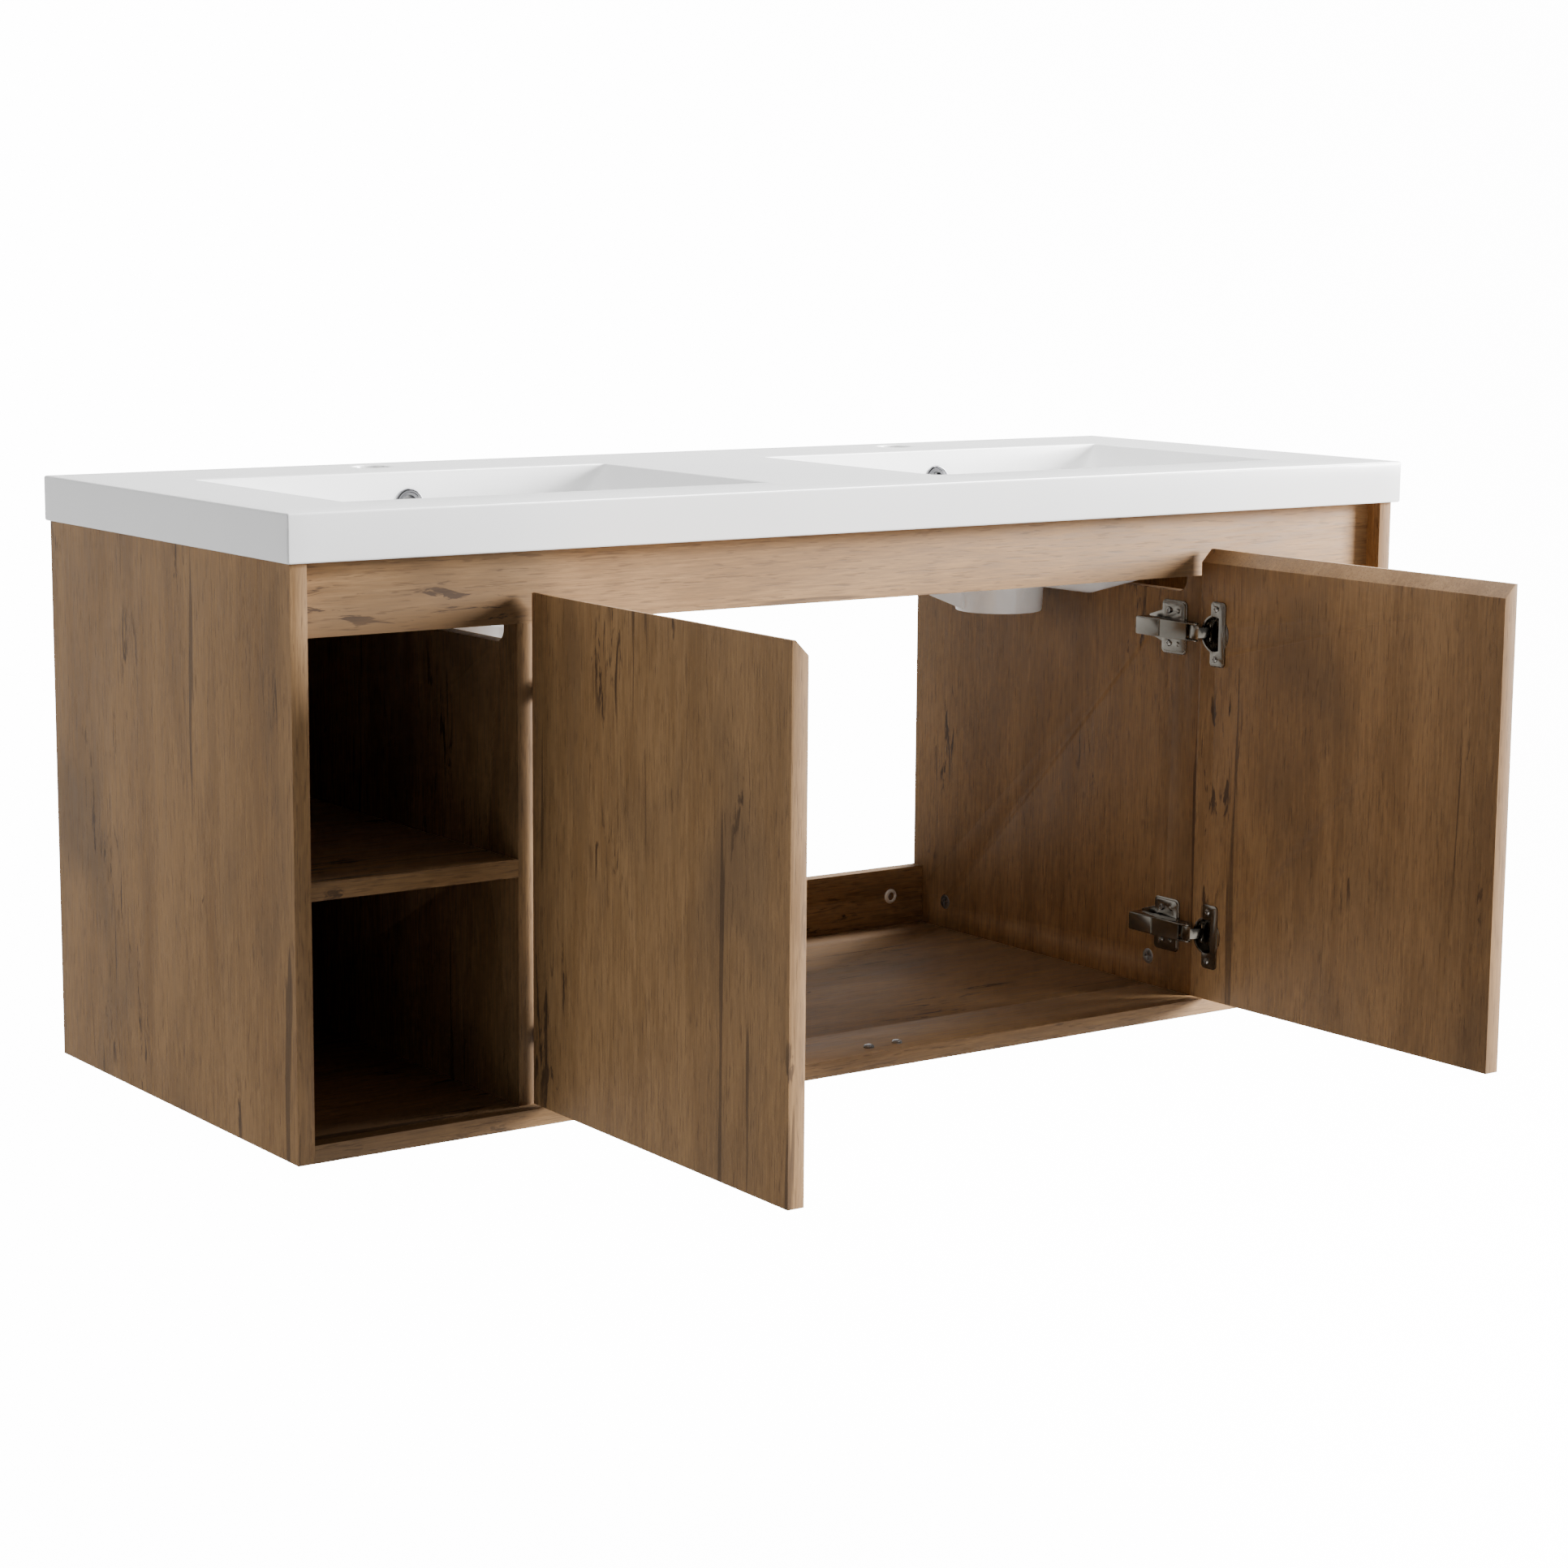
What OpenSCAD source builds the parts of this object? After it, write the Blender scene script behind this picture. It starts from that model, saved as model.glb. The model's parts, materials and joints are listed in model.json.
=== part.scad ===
// Wall-hung bathroom vanity: a cast top with two basins on a board cabinet with
// two doors on cup hinges, an open shelf bay at each end and a cupboard between them.
// Millimetres. +X right, +Y towards the wall, +Z up.
// Origin: centre of the four wall fixings, on the back face. The doors stand open.

/* [Cast top] */
// Width of the cast top
top_w = 1220; // [1190:5:1260]
// Depth of the cast top, from the wall to its front face
top_d = 467; // [462:1:480]
// Height of the cast top's visible edge
top_edge_h = 40; // [36:1:44]
// Thickness of the cast top between its basins
top_skin = 18; // [16:1:22]
// Width of one basin at its rim
basin_w = 424; // [410:2:430]
// Depth of one basin at its rim, front to back
basin_d = 271; // [264:1:276]
// Distance from the middle of the top to the middle of each basin
basin_x = 305; // [298:1:312]
// Depth of a basin over its waste outlet
basin_depth = 112; // [104:1:114]
// Diameter of the tap holes
tap_hole_d = 35; // [32:1:36]
// Diameter of the waste outlets
waste_d = 45; // [42:1:47]

/* [Cabinet] */
// Height of the cabinet under the cast top
cab_h = 487; // [480:1:495]
// Overhang of the top beyond the cabinet at each end
side_overhang = 5.5; // [2:0.5:8]
// Overhang of the top in front of the end panels
front_overhang = 7.5; // [5:0.5:10]
// Thickness of the cabinet and door boards
board = 15; // [15:0.5:16]
// Clear width of each open shelf bay
bay_w = 202; // [196:1:203]
// Height of the front rail
rail_h = 62; // [58:1:66]
// Height of the shelf tops above the inside of the floor
shelf_rise = 212; // [190:1:240]

/* [Doors] */
// Width of each door
door_w = 378; // [374:0.5:379]
// Height of each door
door_h = 433; // [428:1:434]
// Angle the doors stand open at
open_angle = 91; // [85:1:95]
// Height of the finger bevel along the top of the doors
bevel_h = 12; // [8:1:14]
// Height of the upper hinges above the origin
upper_hinge_z = 125; // [110:1:130]
// Height of the lower hinges above the origin
lower_hinge_z = -167; // [-170:1:-150]

/* [Wall fixings] */
// Distance between the two wall fixings of a row
fixing_dx = 660; // [620:2:680]
// Distance between the upper and the lower row of wall fixings
fixing_dz = 400; // [398:1:402]
// Diameter of the wall fixing holes
fixing_d = 8; // [6:0.5:9]

/* [Hidden] */
$fn = 48;

OAK = [0.60, 0.47, 0.34];
OAK_DARK = [0.42, 0.31, 0.21];
NICKEL = [0.60, 0.61, 0.62];
LEFT = -1;
RIGHT = 1;
SIDES = [LEFT, RIGHT];
HINGE_Z = [lower_hinge_z, upper_hinge_z];

// levels and planes, measured from the origin
z_cab_bottom = -247;
z_cab_top = z_cab_bottom + cab_h;
z_top = z_cab_top + top_edge_h;
z_floor = z_cab_bottom + board;           // inside of the floor panel
z_rail_bottom = z_cab_top - rail_h;
z_notch = z_rail_bottom - 18;             // bottom of the notch in the dividers
z_shelf = z_floor + shelf_rise;           // top of the shelves
y_front = front_overhang - top_d;         // front edges of the end panels and the floor
door_gap = 1.5;                           // between a closed door and the boards behind it
y_inner = y_front + board + door_gap;     // front of the dividers, the rail and the shelves
x_side = top_w / 2 - side_overhang;       // outer face of an end panel
x_side_in = x_side - board;
x_div_out = x_side_in - bay_w;
x_div_in = x_div_out - board;
x_div = (x_div_in + x_div_out) / 2;
back_board = 5;                           // thickness of a bay's back panel
lower_rail_h = 61;

// doors and hinges: the right-hand ones, which the left-hand ones mirror
door_meet = 1.5;                          // from the middle to a closed door's edge
x_hinge_edge = door_w + door_meet;        // hinge edge of the closed door
z_door = z_floor + 3;
bevel_flat = 3;                           // front part of the top edge, left square
pole = [x_hinge_edge - 4.5, y_front + 3.5];    // the upright axis a door turns about

// ---------- shared shapes ----------

module box(x, y, z) {
    translate([x[0], y[0], z[0]]) cube([x[1] - x[0], y[1] - y[0], z[1] - z[0]]);
}

// shapes drawn for the right-hand side, mirrored for the left
module on_side(side) {
    mirror([side == LEFT ? 1 : 0, 0, 0]) children();
}

// outline in Y and Z, swept along X
module sweep_x(x, outline) {
    translate([x[0], 0, 0]) rotate([90, 0, 90]) linear_extrude(x[1] - x[0]) polygon(outline);
}

// outline in X and Z, swept along Y
module sweep_y(y, outline) {
    translate([0, y[1], 0]) rotate([90, 0, 0]) linear_extrude(y[1] - y[0]) polygon(outline);
}

// flat plate with round corners, centred, standing on z = 0
module round_plate(size, r, h) {
    linear_extrude(h) {
        square([size[0] - 2 * r, size[1]], center = true);
        square([size[0], size[1] - 2 * r], center = true);
        for (i = [-1, 1], j = [-1, 1])
            translate([i * (size[0] / 2 - r), j * (size[1] / 2 - r)]) circle(r);
    }
}

// screw with a cross recess, its seat at z = 0 and its head up
module cross_screw(head_r, head_h, shank_r, shank_l) {
    difference() {
        union() {
            cylinder(r1 = head_r, r2 = head_r * 0.75, h = head_h);
            translate([0, 0, -shank_l]) cylinder(r = shank_r, h = shank_l);
        }
        translate([0, 0, head_h]) for (turn = [0, 90]) rotate(turn)
            cube([head_r * 1.1, head_r * 0.26, head_h * 1.2], center = true);
    }
}

// round stretch that replaces the corner b of the path a, b, c
function fillet(a, b, c, r, n = 8) =
    let (u = (a - b) / norm(a - b), v = (c - b) / norm(c - b),
         half = acos(u * v) / 2,
         centre = b + (u + v) / norm(u + v) * r / sin(half),
         p = b + u * r / tan(half) - centre, q = b + v * r / tan(half) - centre,
         start = atan2(p[1], p[0]), turn = atan2(p[0] * q[1] - p[1] * q[0], p * q))
    [for (i = [0:n]) centre + r * [cos(start + turn * i / n), sin(start + turn * i / n)]];

// ---------- cam and dowel joints ----------
// In a joint's own frame the mating board's face is z = 0, the joined board stands
// on it centred on x = 0, the bolt runs up along +Z and the cam's mouth faces +X.

cam_rise = 28;                            // board edge to the middle of the cam
cam_r = 7.5;
cam_h = 12;
bolt_r = 3;
thread_r = 2.5;
thread_l = 11;
dowel_r = 4;
dowel_in_face = 10;
dowel_in_edge = 20;
MOUTH_DOWN = 180;
MOUTH_BACK = 90;
MOUTH_FRONT = -90;

// joint on an inner face at |x|, its bolt running inwards; mouth turns the cam about it
module joint_inwards(side, x, y, z, mouth) {
    on_side(side) translate([x, y, z]) rotate([0, -90, 0]) rotate(mouth) children();
}

module divider_floor_joints() {
    for (side = SIDES, y = [-379, -55])
        on_side(side) translate([x_div, y, z_floor]) rotate(180) children();
}

module floor_end_joints() {
    for (side = SIDES, y = [-400, -60])
        joint_inwards(side, x_side_in, y, z_cab_bottom + board / 2, MOUTH_DOWN) children();
}

module shelf_end_joints() {
    for (side = SIDES, y = [-390, -90])
        joint_inwards(side, x_side_in, y, z_shelf - board / 2, MOUTH_DOWN) children();
}

module shelf_divider_joints() {
    for (side = SIDES, y = [-390, -90])
        on_side(side) translate([x_div_out, y, z_shelf - board / 2]) rotate([0, 90, 0]) children();
}

module front_rail_joints() {
    for (side = SIDES)
        joint_inwards(side, x_side_in, y_inner + board / 2, z_cab_top - rail_h / 2, MOUTH_BACK) children();
}

module upper_rail_joints() {
    for (side = SIDES)
        joint_inwards(side, x_side_in, -board / 2, (z_cab_top + z_notch) / 2, MOUTH_FRONT) children();
}

module lower_rail_joints() {
    for (side = SIDES)
        joint_inwards(side, x_div_in, -board / 2, z_floor + lower_rail_h / 2, MOUTH_BACK) children();
}

module all_cam_joints() {
    divider_floor_joints() children();
    floor_end_joints() children();
    shelf_end_joints() children();
    shelf_divider_joints() children();
    front_rail_joints() children();
    upper_rail_joints() children();
    lower_rail_joints() children();
}

// dowels stand in a face with dowel_in_face and in an edge with dowel_in_edge
module rail_dowel_joints() {
    for (side = SIDES, dz = [-20, 20])
        joint_inwards(side, x_side_in, y_inner + board / 2, z_cab_top - rail_h / 2 + dz, 0) children();
}

module divider_dowel_joints() {
    for (side = SIDES) {
        on_side(side) translate([x_div, y_inner + board / 2, z_rail_bottom]) rotate([180, 0, 0]) children();
        on_side(side) translate([x_div, -board / 2, z_notch]) rotate([180, 0, 0]) children();
    }
}

module floor_dowel_joints() {
    for (side = SIDES)
        joint_inwards(side, x_side_in, -230, z_cab_bottom + board / 2, 0) children();
}

module cam_bore() {
    translate([board / 2 - cam_h - 0.3, 0, cam_rise])
        rotate([0, 90, 0]) cylinder(r = cam_r + 0.1, h = cam_h + 1);
    translate([0, 0, -1]) cylinder(r = bolt_r + 0.6, h = cam_rise);
}

module thread_bore() {
    translate([0, 0, -thread_l - 0.5]) cylinder(r = thread_r, h = thread_l + 1);
}

module dowel_bore() {
    translate([0, 0, -dowel_in_face - 0.5])
        cylinder(r = dowel_r + 0.05, h = dowel_in_face + dowel_in_edge + 1);
}

module cam() {
    difference() {
        translate([board / 2 - cam_h, 0, cam_rise]) rotate([0, 90, 0]) cylinder(r = cam_r, h = cam_h);
        translate([board / 2, 0, cam_rise]) for (turn = [0, 90]) rotate([turn, 0, 0])
            cube([2.4, 9.5, 1.8], center = true);
        translate([0, 0, cam_rise - cam_r - 1]) cylinder(r = bolt_r, h = cam_r);
    }
}

module cam_bolt() {
    translate([0, 0, -thread_l]) cylinder(r = thread_r - 0.05, h = thread_l);
    cylinder(r = bolt_r, h = cam_rise - cam_r - 1);
    translate([0, 0, cam_rise - cam_r - 1]) cylinder(r1 = bolt_r - 0.6, r2 = 1.4, h = 5);
}

module cam_locks() {
    color("silver") all_cam_joints() cam();
}

module cam_bolts() {
    color("darkgray") all_cam_joints() cam_bolt();
}

module dowel_joints() {
    rail_dowel_joints() children();
    divider_dowel_joints() children();
    floor_dowel_joints() children();
}

module dowels() {
    color("tan") dowel_joints() translate([0, 0, -dowel_in_face])
        cylinder(r = dowel_r, h = dowel_in_face + dowel_in_edge);
}

// ---------- cabinet ----------

module end_panel(side) {
    color(OAK) difference() {
        on_side(side) box([x_side_in, x_side], [y_front, 0], [z_cab_bottom, z_cab_top]);
        floor_end_joints() thread_bore();
        shelf_end_joints() thread_bore();
        front_rail_joints() thread_bore();
        upper_rail_joints() thread_bore();
        rail_dowel_joints() dowel_bore();
        floor_dowel_joints() dowel_bore();
    }
}

module floor_panel() {
    color(OAK) difference() {
        box([-x_side_in, x_side_in], [y_front, 0], [z_cab_bottom, z_floor]);
        floor_end_joints() cam_bore();
        divider_floor_joints() thread_bore();
        floor_dowel_joints() dowel_bore();
    }
}

// upright board, cut away behind the front rail to clear the basins
notch_y = y_inner + 22;                   // front of the notch
notch_r = 12;

module divider(side) {
    front_top = [[y_inner, z_floor], [y_inner, z_rail_bottom], [notch_y, z_rail_bottom]];
    corner = fillet([notch_y, z_rail_bottom], [notch_y, z_notch], [0, z_notch], notch_r);
    color(OAK_DARK) difference() {
        on_side(side) sweep_x([x_div_in, x_div_out],
                              concat(front_top, corner, [[0, z_notch], [0, z_floor]]));
        divider_floor_joints() cam_bore();
        shelf_divider_joints() thread_bore();
        lower_rail_joints() thread_bore();
        divider_dowel_joints() dowel_bore();
        for (z = HINGE_Z) on_side(side) translate([x_div_in, 0, z]) plate_screw_bores();
    }
}

module front_rail() {
    color(OAK) difference() {
        box([-x_side_in, x_side_in], [y_inner, y_inner + board], [z_rail_bottom, z_cab_top]);
        front_rail_joints() cam_bore();
        rail_dowel_joints() dowel_bore();
        divider_dowel_joints() dowel_bore();
    }
}

// holes for the wall screws, along Y through a back rail
module fixing_places() {
    for (side = SIDES, dz = [-1, 1])
        translate([side * fixing_dx / 2, 0, dz * fixing_dz / 2]) rotate([90, 0, 0]) children();
}

module upper_back_rail() {
    color(OAK_DARK) difference() {
        box([-x_side_in, x_side_in], [-board, 0], [z_notch, z_cab_top]);
        fixing_places() translate([0, 0, -1]) cylinder(d = fixing_d, h = board + 2);
        upper_rail_joints() cam_bore();
        divider_dowel_joints() dowel_bore();
    }
}

module lower_back_rail() {
    color(OAK_DARK) difference() {
        box([-x_div_in, x_div_in], [-board, 0], [z_floor, z_floor + lower_rail_h]);
        fixing_places() translate([0, 0, -1]) cylinder(d = fixing_d, h = board + 2);
        lower_rail_joints() cam_bore();
    }
}

module wall_washers() {
    color("whitesmoke") fixing_places() translate([0, 0, board]) difference() {
        cylinder(r1 = 8, r2 = 6.5, h = 2);
        translate([0, 0, -1]) cylinder(d = fixing_d + 0.4, h = 4);
    }
}

module shelf(side) {
    color(OAK) difference() {
        on_side(side)
            box([x_div_out, x_side_in], [y_inner, -board - back_board], [z_shelf - board, z_shelf]);
        shelf_end_joints() cam_bore();
        shelf_divider_joints() cam_bore();
    }
}

module back_panel(side) {
    color(OAK_DARK) on_side(side)
        box([x_div_out, x_side_in], [-board - back_board, -board], [z_floor, z_cab_top - 0.5]);
}

// clear domes on the floor that stop the closed doors
bumper_r = 5;

module door_bumpers() {
    color("white", 0.5) for (side = SIDES)
        translate([side * 16, y_front + board + 0.4 + bumper_r, z_floor])
            rotate_extrude() polygon([[0, 0], [bumper_r, 0], [bumper_r, 0.8],
                                      for (a = [10:10:90]) [4.6 * cos(a), 0.8 + 2.4 * sin(a)]]);
}

// ---------- cast top ----------

basin_y = -249.5;                         // middle of the basins
waste_y = -219;
tap_y = -44;
draft = 4;                                // slope of the front and back basin walls
basin_wall = 11;
ramp_w = 82;                              // how far an end ramp reaches in
ramp_h = 90;                              // and how far down
boss_r = 45;
boss_bottom = 152.5;                      // under the top's surface
overflow_r = 10;
overflow_z = 30;                          // under the top's surface
duct_w = 24;                              // inside width of the overflow duct

// half of a basin's outline along its width: an end ramp and a floor that falls to the
// waste; grow is 0 for the inside and the wall's thickness for the outside
function along_basin(grow) =
    let (w = basin_w / 2 + 1.25 * grow, bottom = basin_depth + grow,
         foot = [w - ramp_w, -ramp_h - grow],
         rim = grow > 0 ? [[w, -3]] : [[w, 5], [w, 0]])
    concat(rim, fillet([w, 0], foot, [0, -bottom], 60, 10), [[0, -bottom]]);

// the same outline, both halves
function basin_length_outline(grow) =
    let (half = along_basin(grow), n = len(half))
    concat(half, [for (i = [n - 2:-1:0]) [-half[i][0], half[i][1]]]);

// basin outline across its depth, with a round where the floor meets each wall
function basin_depth_outline(grow) =
    let (d = basin_d / 2 + grow, bottom = -basin_depth - grow, lean = -bottom * tan(draft),
         front_foot = [basin_y - d + lean, bottom], back_foot = [basin_y + d - lean, bottom],
         lip = grow > 0 ? -3 : 5)
    concat([[basin_y - d, lip], [basin_y - d, 0]],
           fillet([basin_y - d, 0], front_foot, back_foot, 28 + grow),
           fillet(front_foot, back_foot, [basin_y + d, 0], 28 + grow),
           [[basin_y + d, 0], [basin_y + d, lip]]);

module basin_body(grow) {
    intersection() {
        sweep_y([basin_y - basin_d, basin_y + basin_d], basin_length_outline(grow));
        sweep_x([-basin_w, basin_w], basin_depth_outline(grow));
    }
}

// overflow duct from the back wall of the basin round to the waste boss
module duct_body() {
    sweep_x([-boss_r - 1, boss_r + 1],
            [[waste_y, -118], [waste_y, -149], [-170, -141], [-112, -129], [-88, -106], [-88, -15],
             [-112, -15]]);
}

module duct_hollow() {
    sweep_x([-duct_w / 2, duct_w / 2],
            [[waste_y + 15, -127.5], [waste_y + 15, -139], [-170, -135], [-115, -124], [-94, -103],
             [-94, -20], [-101, -20], [-101, -98], [-118, -115], [-150, -127]]);
}

// frame on the back wall of the basin, +Z out of the wall towards the front
module on_overflow() {
    translate([0, basin_y + basin_d / 2 - overflow_z * tan(draft), -overflow_z])
        rotate([90 - draft, 0, 0]) children();
}

module each_basin() {
    for (side = SIDES) translate([side * basin_x, 0, z_top]) children();
}

module cast_top() {
    lip_side = 25;
    lip_front = 44;
    lip_back = 25;
    color("white") difference() {
        union() {
            difference() {
                box([-top_w / 2, top_w / 2], [-top_d, 0], [z_cab_top, z_top]);
                box([lip_side - top_w / 2, top_w / 2 - lip_side], [lip_front - top_d, -lip_back],
                    [z_cab_top - 1, z_top - top_skin]);
            }
            each_basin() basin_body(basin_wall);
            each_basin() duct_body();
            each_basin() translate([0, waste_y, -boss_bottom])
                cylinder(r1 = boss_r - 2, r2 = boss_r, h = boss_bottom - basin_depth - 1);
        }
        each_basin() basin_body(0);
        each_basin() duct_hollow();
        each_basin() translate([0, waste_y, -boss_bottom - 1]) cylinder(d = waste_d, h = boss_bottom);
        each_basin() translate([0, waste_y, -basin_depth - 2])
            cylinder(r1 = waste_d / 2, r2 = waste_d / 2 + 10, h = 10);
        each_basin() translate([0, tap_y, -top_skin - 1]) cylinder(d = tap_hole_d, h = top_skin + 2);
        each_basin() on_overflow() translate([0, 0, -20]) cylinder(r = overflow_r, h = 24);
    }
}

module overflow_ring(side) {
    color("silver") translate([side * basin_x, 0, z_top]) on_overflow() difference() {
        union() {
            cylinder(r1 = 15, r2 = 13.5, h = 2);
            translate([0, 0, -8]) cylinder(r = overflow_r - 0.1, h = 8);
        }
        translate([0, 0, -9]) cylinder(r = overflow_r - 1.4, h = 12);
    }
}

// ---------- doors ----------

// pieces of the closed right-hand door, turned open and, for the left, mirrored
module opened(side) {
    on_side(side) translate([pole[0], pole[1], 0]) rotate(open_angle)
        translate([-pole[0], -pole[1], 0]) children();
}

module door(side) {
    z_bevel = z_door + door_h - bevel_h;
    z_door_top = z_door + door_h;
    outline = [[y_front, z_door], [y_front + board, z_door], [y_front + board, z_bevel],
               [y_front + bevel_flat, z_door_top], [y_front, z_door_top]];
    color(OAK) difference() {
        opened(side) sweep_x([door_meet, x_hinge_edge], outline);
        for (z = HINGE_Z) opened(side) in_cup(z) {
            translate([0, 0, -cup_depth - 0.3]) cylinder(r = cup_r + 0.1, h = cup_depth + 1);
            cup_screw_places() translate([0, 0, -9]) cylinder(r = 1.3, h = 10);
        }
    }
}

// ---------- cup hinges ----------

cup_s = 20.5;                             // door's hinge edge to the middle of the cup
cup_r = 17.4;
cup_depth = 12.8;
cup_wall = 0.8;
cup_screw_dz = 48;
cup_screw_s = 22;
flange_s = [15.5, 35];                    // where the flange starts and ends
flange_h = 62;
throat_s = 26.5;                          // where the opening into the cup ends
throat_h = 27;
metal = 1.3;                              // sheet thickness of the moving pieces
pin_r = 1.2;
arm_pin = [-16.5, 6];                     // arm pin, from the pole
link_swing_r = 5;                         // pole to the cup pin
arm_pin_angle = atan2(arm_pin[1], arm_pin[0]);
cup_pin = link_swing_r * [cos(arm_pin_angle - 45.5), sin(arm_pin_angle - 45.5)];  // door closed
link_ratio = 0.313;                       // turn of a link for each degree of the door
link_z = 6.6;                             // half the height of a link's outer sheet
hook_z = 5;                               // half the height of its hook
arm_z = 8.6;                              // half the height of an arm
arm_x = -21.5;                            // inner face of an arm, from the pole
arm_front = 14;
arm_back = 84;
wall_x = x_div_in - pole[0];              // divider's face, from the pole
plate_y = y_inner + 37 - pole[1];         // middle of a mounting plate, from the pole
plate_screw_dz = 32;
wing_dy = 6.5;                            // half the distance between a wing's screw and rivet

// frame of a cup in the closed door: +Z out of the door's inner face, +Y up
module in_cup(z) {
    translate([x_hinge_edge - cup_s, y_front + board, z]) rotate([-90, 0, 0]) mirror([0, 1, 0]) children();
}

module cup_screw_places() {
    for (dz = [-1, 1]) translate([cup_s - cup_screw_s, dz * cup_screw_dz / 2, 0]) children();
}

module hinge_cup(side, z) {
    flange_w = flange_s[1] - flange_s[0];
    color(NICKEL) opened(side) difference() {
        in_cup(z) difference() {
            union() {
                translate([0, 0, -cup_depth]) cylinder(r = cup_r, h = cup_depth);
                cylinder(r = cup_r + 1, h = 0.5);
                translate([cup_s - flange_s[0] - flange_w / 2, 0, 0])
                    round_plate([flange_w, flange_h], 4, 1.4);
            }
            difference() {
                translate([0, 0, cup_wall - cup_depth]) cylinder(r = cup_r - cup_wall, h = cup_depth + 2);
                translate([cup_s - throat_s - 20, -30, -0.6]) cube([20, 60, 3]);
            }
            cup_screw_places() translate([0, 0, -1]) cylinder(r = 1.5, h = 4);
        }
        at_cup_pin(z) cylinder(r = pin_r + 0.02, h = 19, center = true);
    }
}

module cup_screws(side) {
    color(NICKEL) for (z = HINGE_Z) opened(side) in_cup(z)
        cup_screw_places() translate([0, 0, 1.4]) cross_screw(3, 1.3, 1.25, 9);
}

module at_cup_pin(z) {
    translate([pole[0] + cup_pin[0], pole[1] + cup_pin[1], z]) children();
}

module cup_pins(side) {
    color(NICKEL) for (z = HINGE_Z) opened(side) at_cup_pin(z)
        cylinder(r = pin_r, h = 17, center = true);
}

module dampers(side) {
    color("dimgray") for (z = HINGE_Z) opened(side)
        translate([x_hinge_edge - 31, y_front + board - 6.4, z]) cylinder(r = 3.3, h = 17.6, center = true);
}

// frame of a hinge's fixed parts: the pole, at the height of the hinge
module at_pole(side, z) {
    on_side(side) translate([pole[0], pole[1], z]) children();
}

// stamped channel, open towards the divider, with a tongue that holds the arm pin
module hinge_arm(side, z) {
    color(NICKEL) at_pole(side, z) {
        difference() {
            translate([0, 0, -arm_z]) linear_extrude(2 * arm_z) {
                translate([arm_x, arm_front]) square([13.5, arm_back - arm_front]);
                translate(arm_pin) circle(3.2);
                polygon([[arm_x, arm_front], arm_pin + [-3.2, 0], arm_pin + [3.2, 0],
                         [arm_x + 13.5, arm_front]]);
            }
            translate([arm_x + metal, arm_front - 12, metal - arm_z])
                cube([20, arm_back - arm_front + 11, 2 * (arm_z - metal)]);
            translate([arm_x - 1, arm_front - 12, metal - arm_z]) cube([20, 12, 2 * (arm_z - metal)]);
            translate([arm_pin[0], arm_pin[1], -arm_z - 1]) cylinder(r = pin_r + 0.02, h = 2 * arm_z + 2);
        }
        translate([arm_x - 1.2, plate_y + 2, 0.7 - arm_z])
            cube([1.2, arm_back - plate_y - 2, 2 * (arm_z - 0.7)]);
    }
}

module arm_pins() {
    color(NICKEL) for (side = SIDES, z = HINGE_Z) at_pole(side, z)
        translate([arm_pin[0], arm_pin[1], -arm_z - 0.5]) cylinder(r = pin_r, h = 2 * arm_z + 1);
}

// adjusting screws inside the channel, their heads under its face
module arm_screws() {
    color("silver") for (side = SIDES, z = HINGE_Z, y = [plate_y - 17, plate_y - 4]) at_pole(side, z)
        translate([arm_x + metal + 1.2, y, 0]) rotate([0, -90, 0]) cross_screw(2.9, 0.9, 2, 8.5);
}

// winged plate on the divider, sloping back to the arm, and the block that the arm sits on
module hinge_plate(side, z) {
    color(NICKEL) at_pole(side, z) {
        difference() {
            translate([wall_x, plate_y, 0]) rotate([0, -90, 0]) {
                round_plate([52, 35], 5, 1.2);
                linear_extrude(1.2) polygon([[-16, 15], [16, 15], [9.4, 36], [-9.4, 36]]);
                translate([0, 0, 1.2]) round_plate([48, 31], 4, 1);
            }
            plate_screws_of() translate([0, 0, -4]) cylinder(r = 2.1, h = 8);
        }
        translate([arm_x + 11.2, plate_y - 22, -6.5]) cube([wall_x - 2.2 - arm_x - 11.2, 46, 13]);
        for (dz = [-1, 1]) translate([wall_x - 2.2, plate_y - wing_dy, dz * plate_screw_dz / 2])
            rotate([0, -90, 0]) cylinder(r1 = 2.4, r2 = 1.6, h = 1);
    }
}

// the two screws of a plate: +Z out of the divider
module plate_screws_of() {
    for (dz = [-1, 1]) translate([wall_x - 2.2, plate_y + wing_dy, dz * plate_screw_dz / 2])
        rotate([0, -90, 0]) children();
}

module plate_screws() {
    color("silver") for (side = SIDES, z = HINGE_Z) at_pole(side, z)
        plate_screws_of() cross_screw(3.4, 1.4, 1.9, 12);
}

module plate_screw_bores() {
    translate([-wall_x, pole[1], 0]) plate_screws_of() translate([0, 0, -12.5]) cylinder(r = 1.95, h = 12);
}

// stamped gooseneck link with the door at 91 degrees: a sheet round the rim of the cup
// and two cheeks, hooked under the cup pin
link_sheet = [[-18.9, 12], [-19.2, 5], [-17.8, 0.2], [-14.8, -1.6], [-12.2, -2.9], [-9, -4.3],
              [-7.7, -4.6], [-4.5, -4.6], [-4.5, -3.75], [-8.6, -3.2], [-11.8, -1.8], [-14.2, -0.6],
              [-16.5, 1], [-17.6, 12]];
link_cheek = [[-18.9, 12], [-19.2, 5], [-17.8, 0.2], [-14.8, -1.6], [-12.2, -2.9], [-9, -4.3],
              [-7.7, -4.6], [-4.5, -4.6], [-4.5, -3.75], [-6.8, -3], [-7.7, -1.9], [-7.8, -1.15],
              [-12.1, -1.15], [-12.6, -0.5], [-12.6, 2.5], [-13.9, 6], [-14.6, 7.8], [-17.6, 12]];

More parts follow.
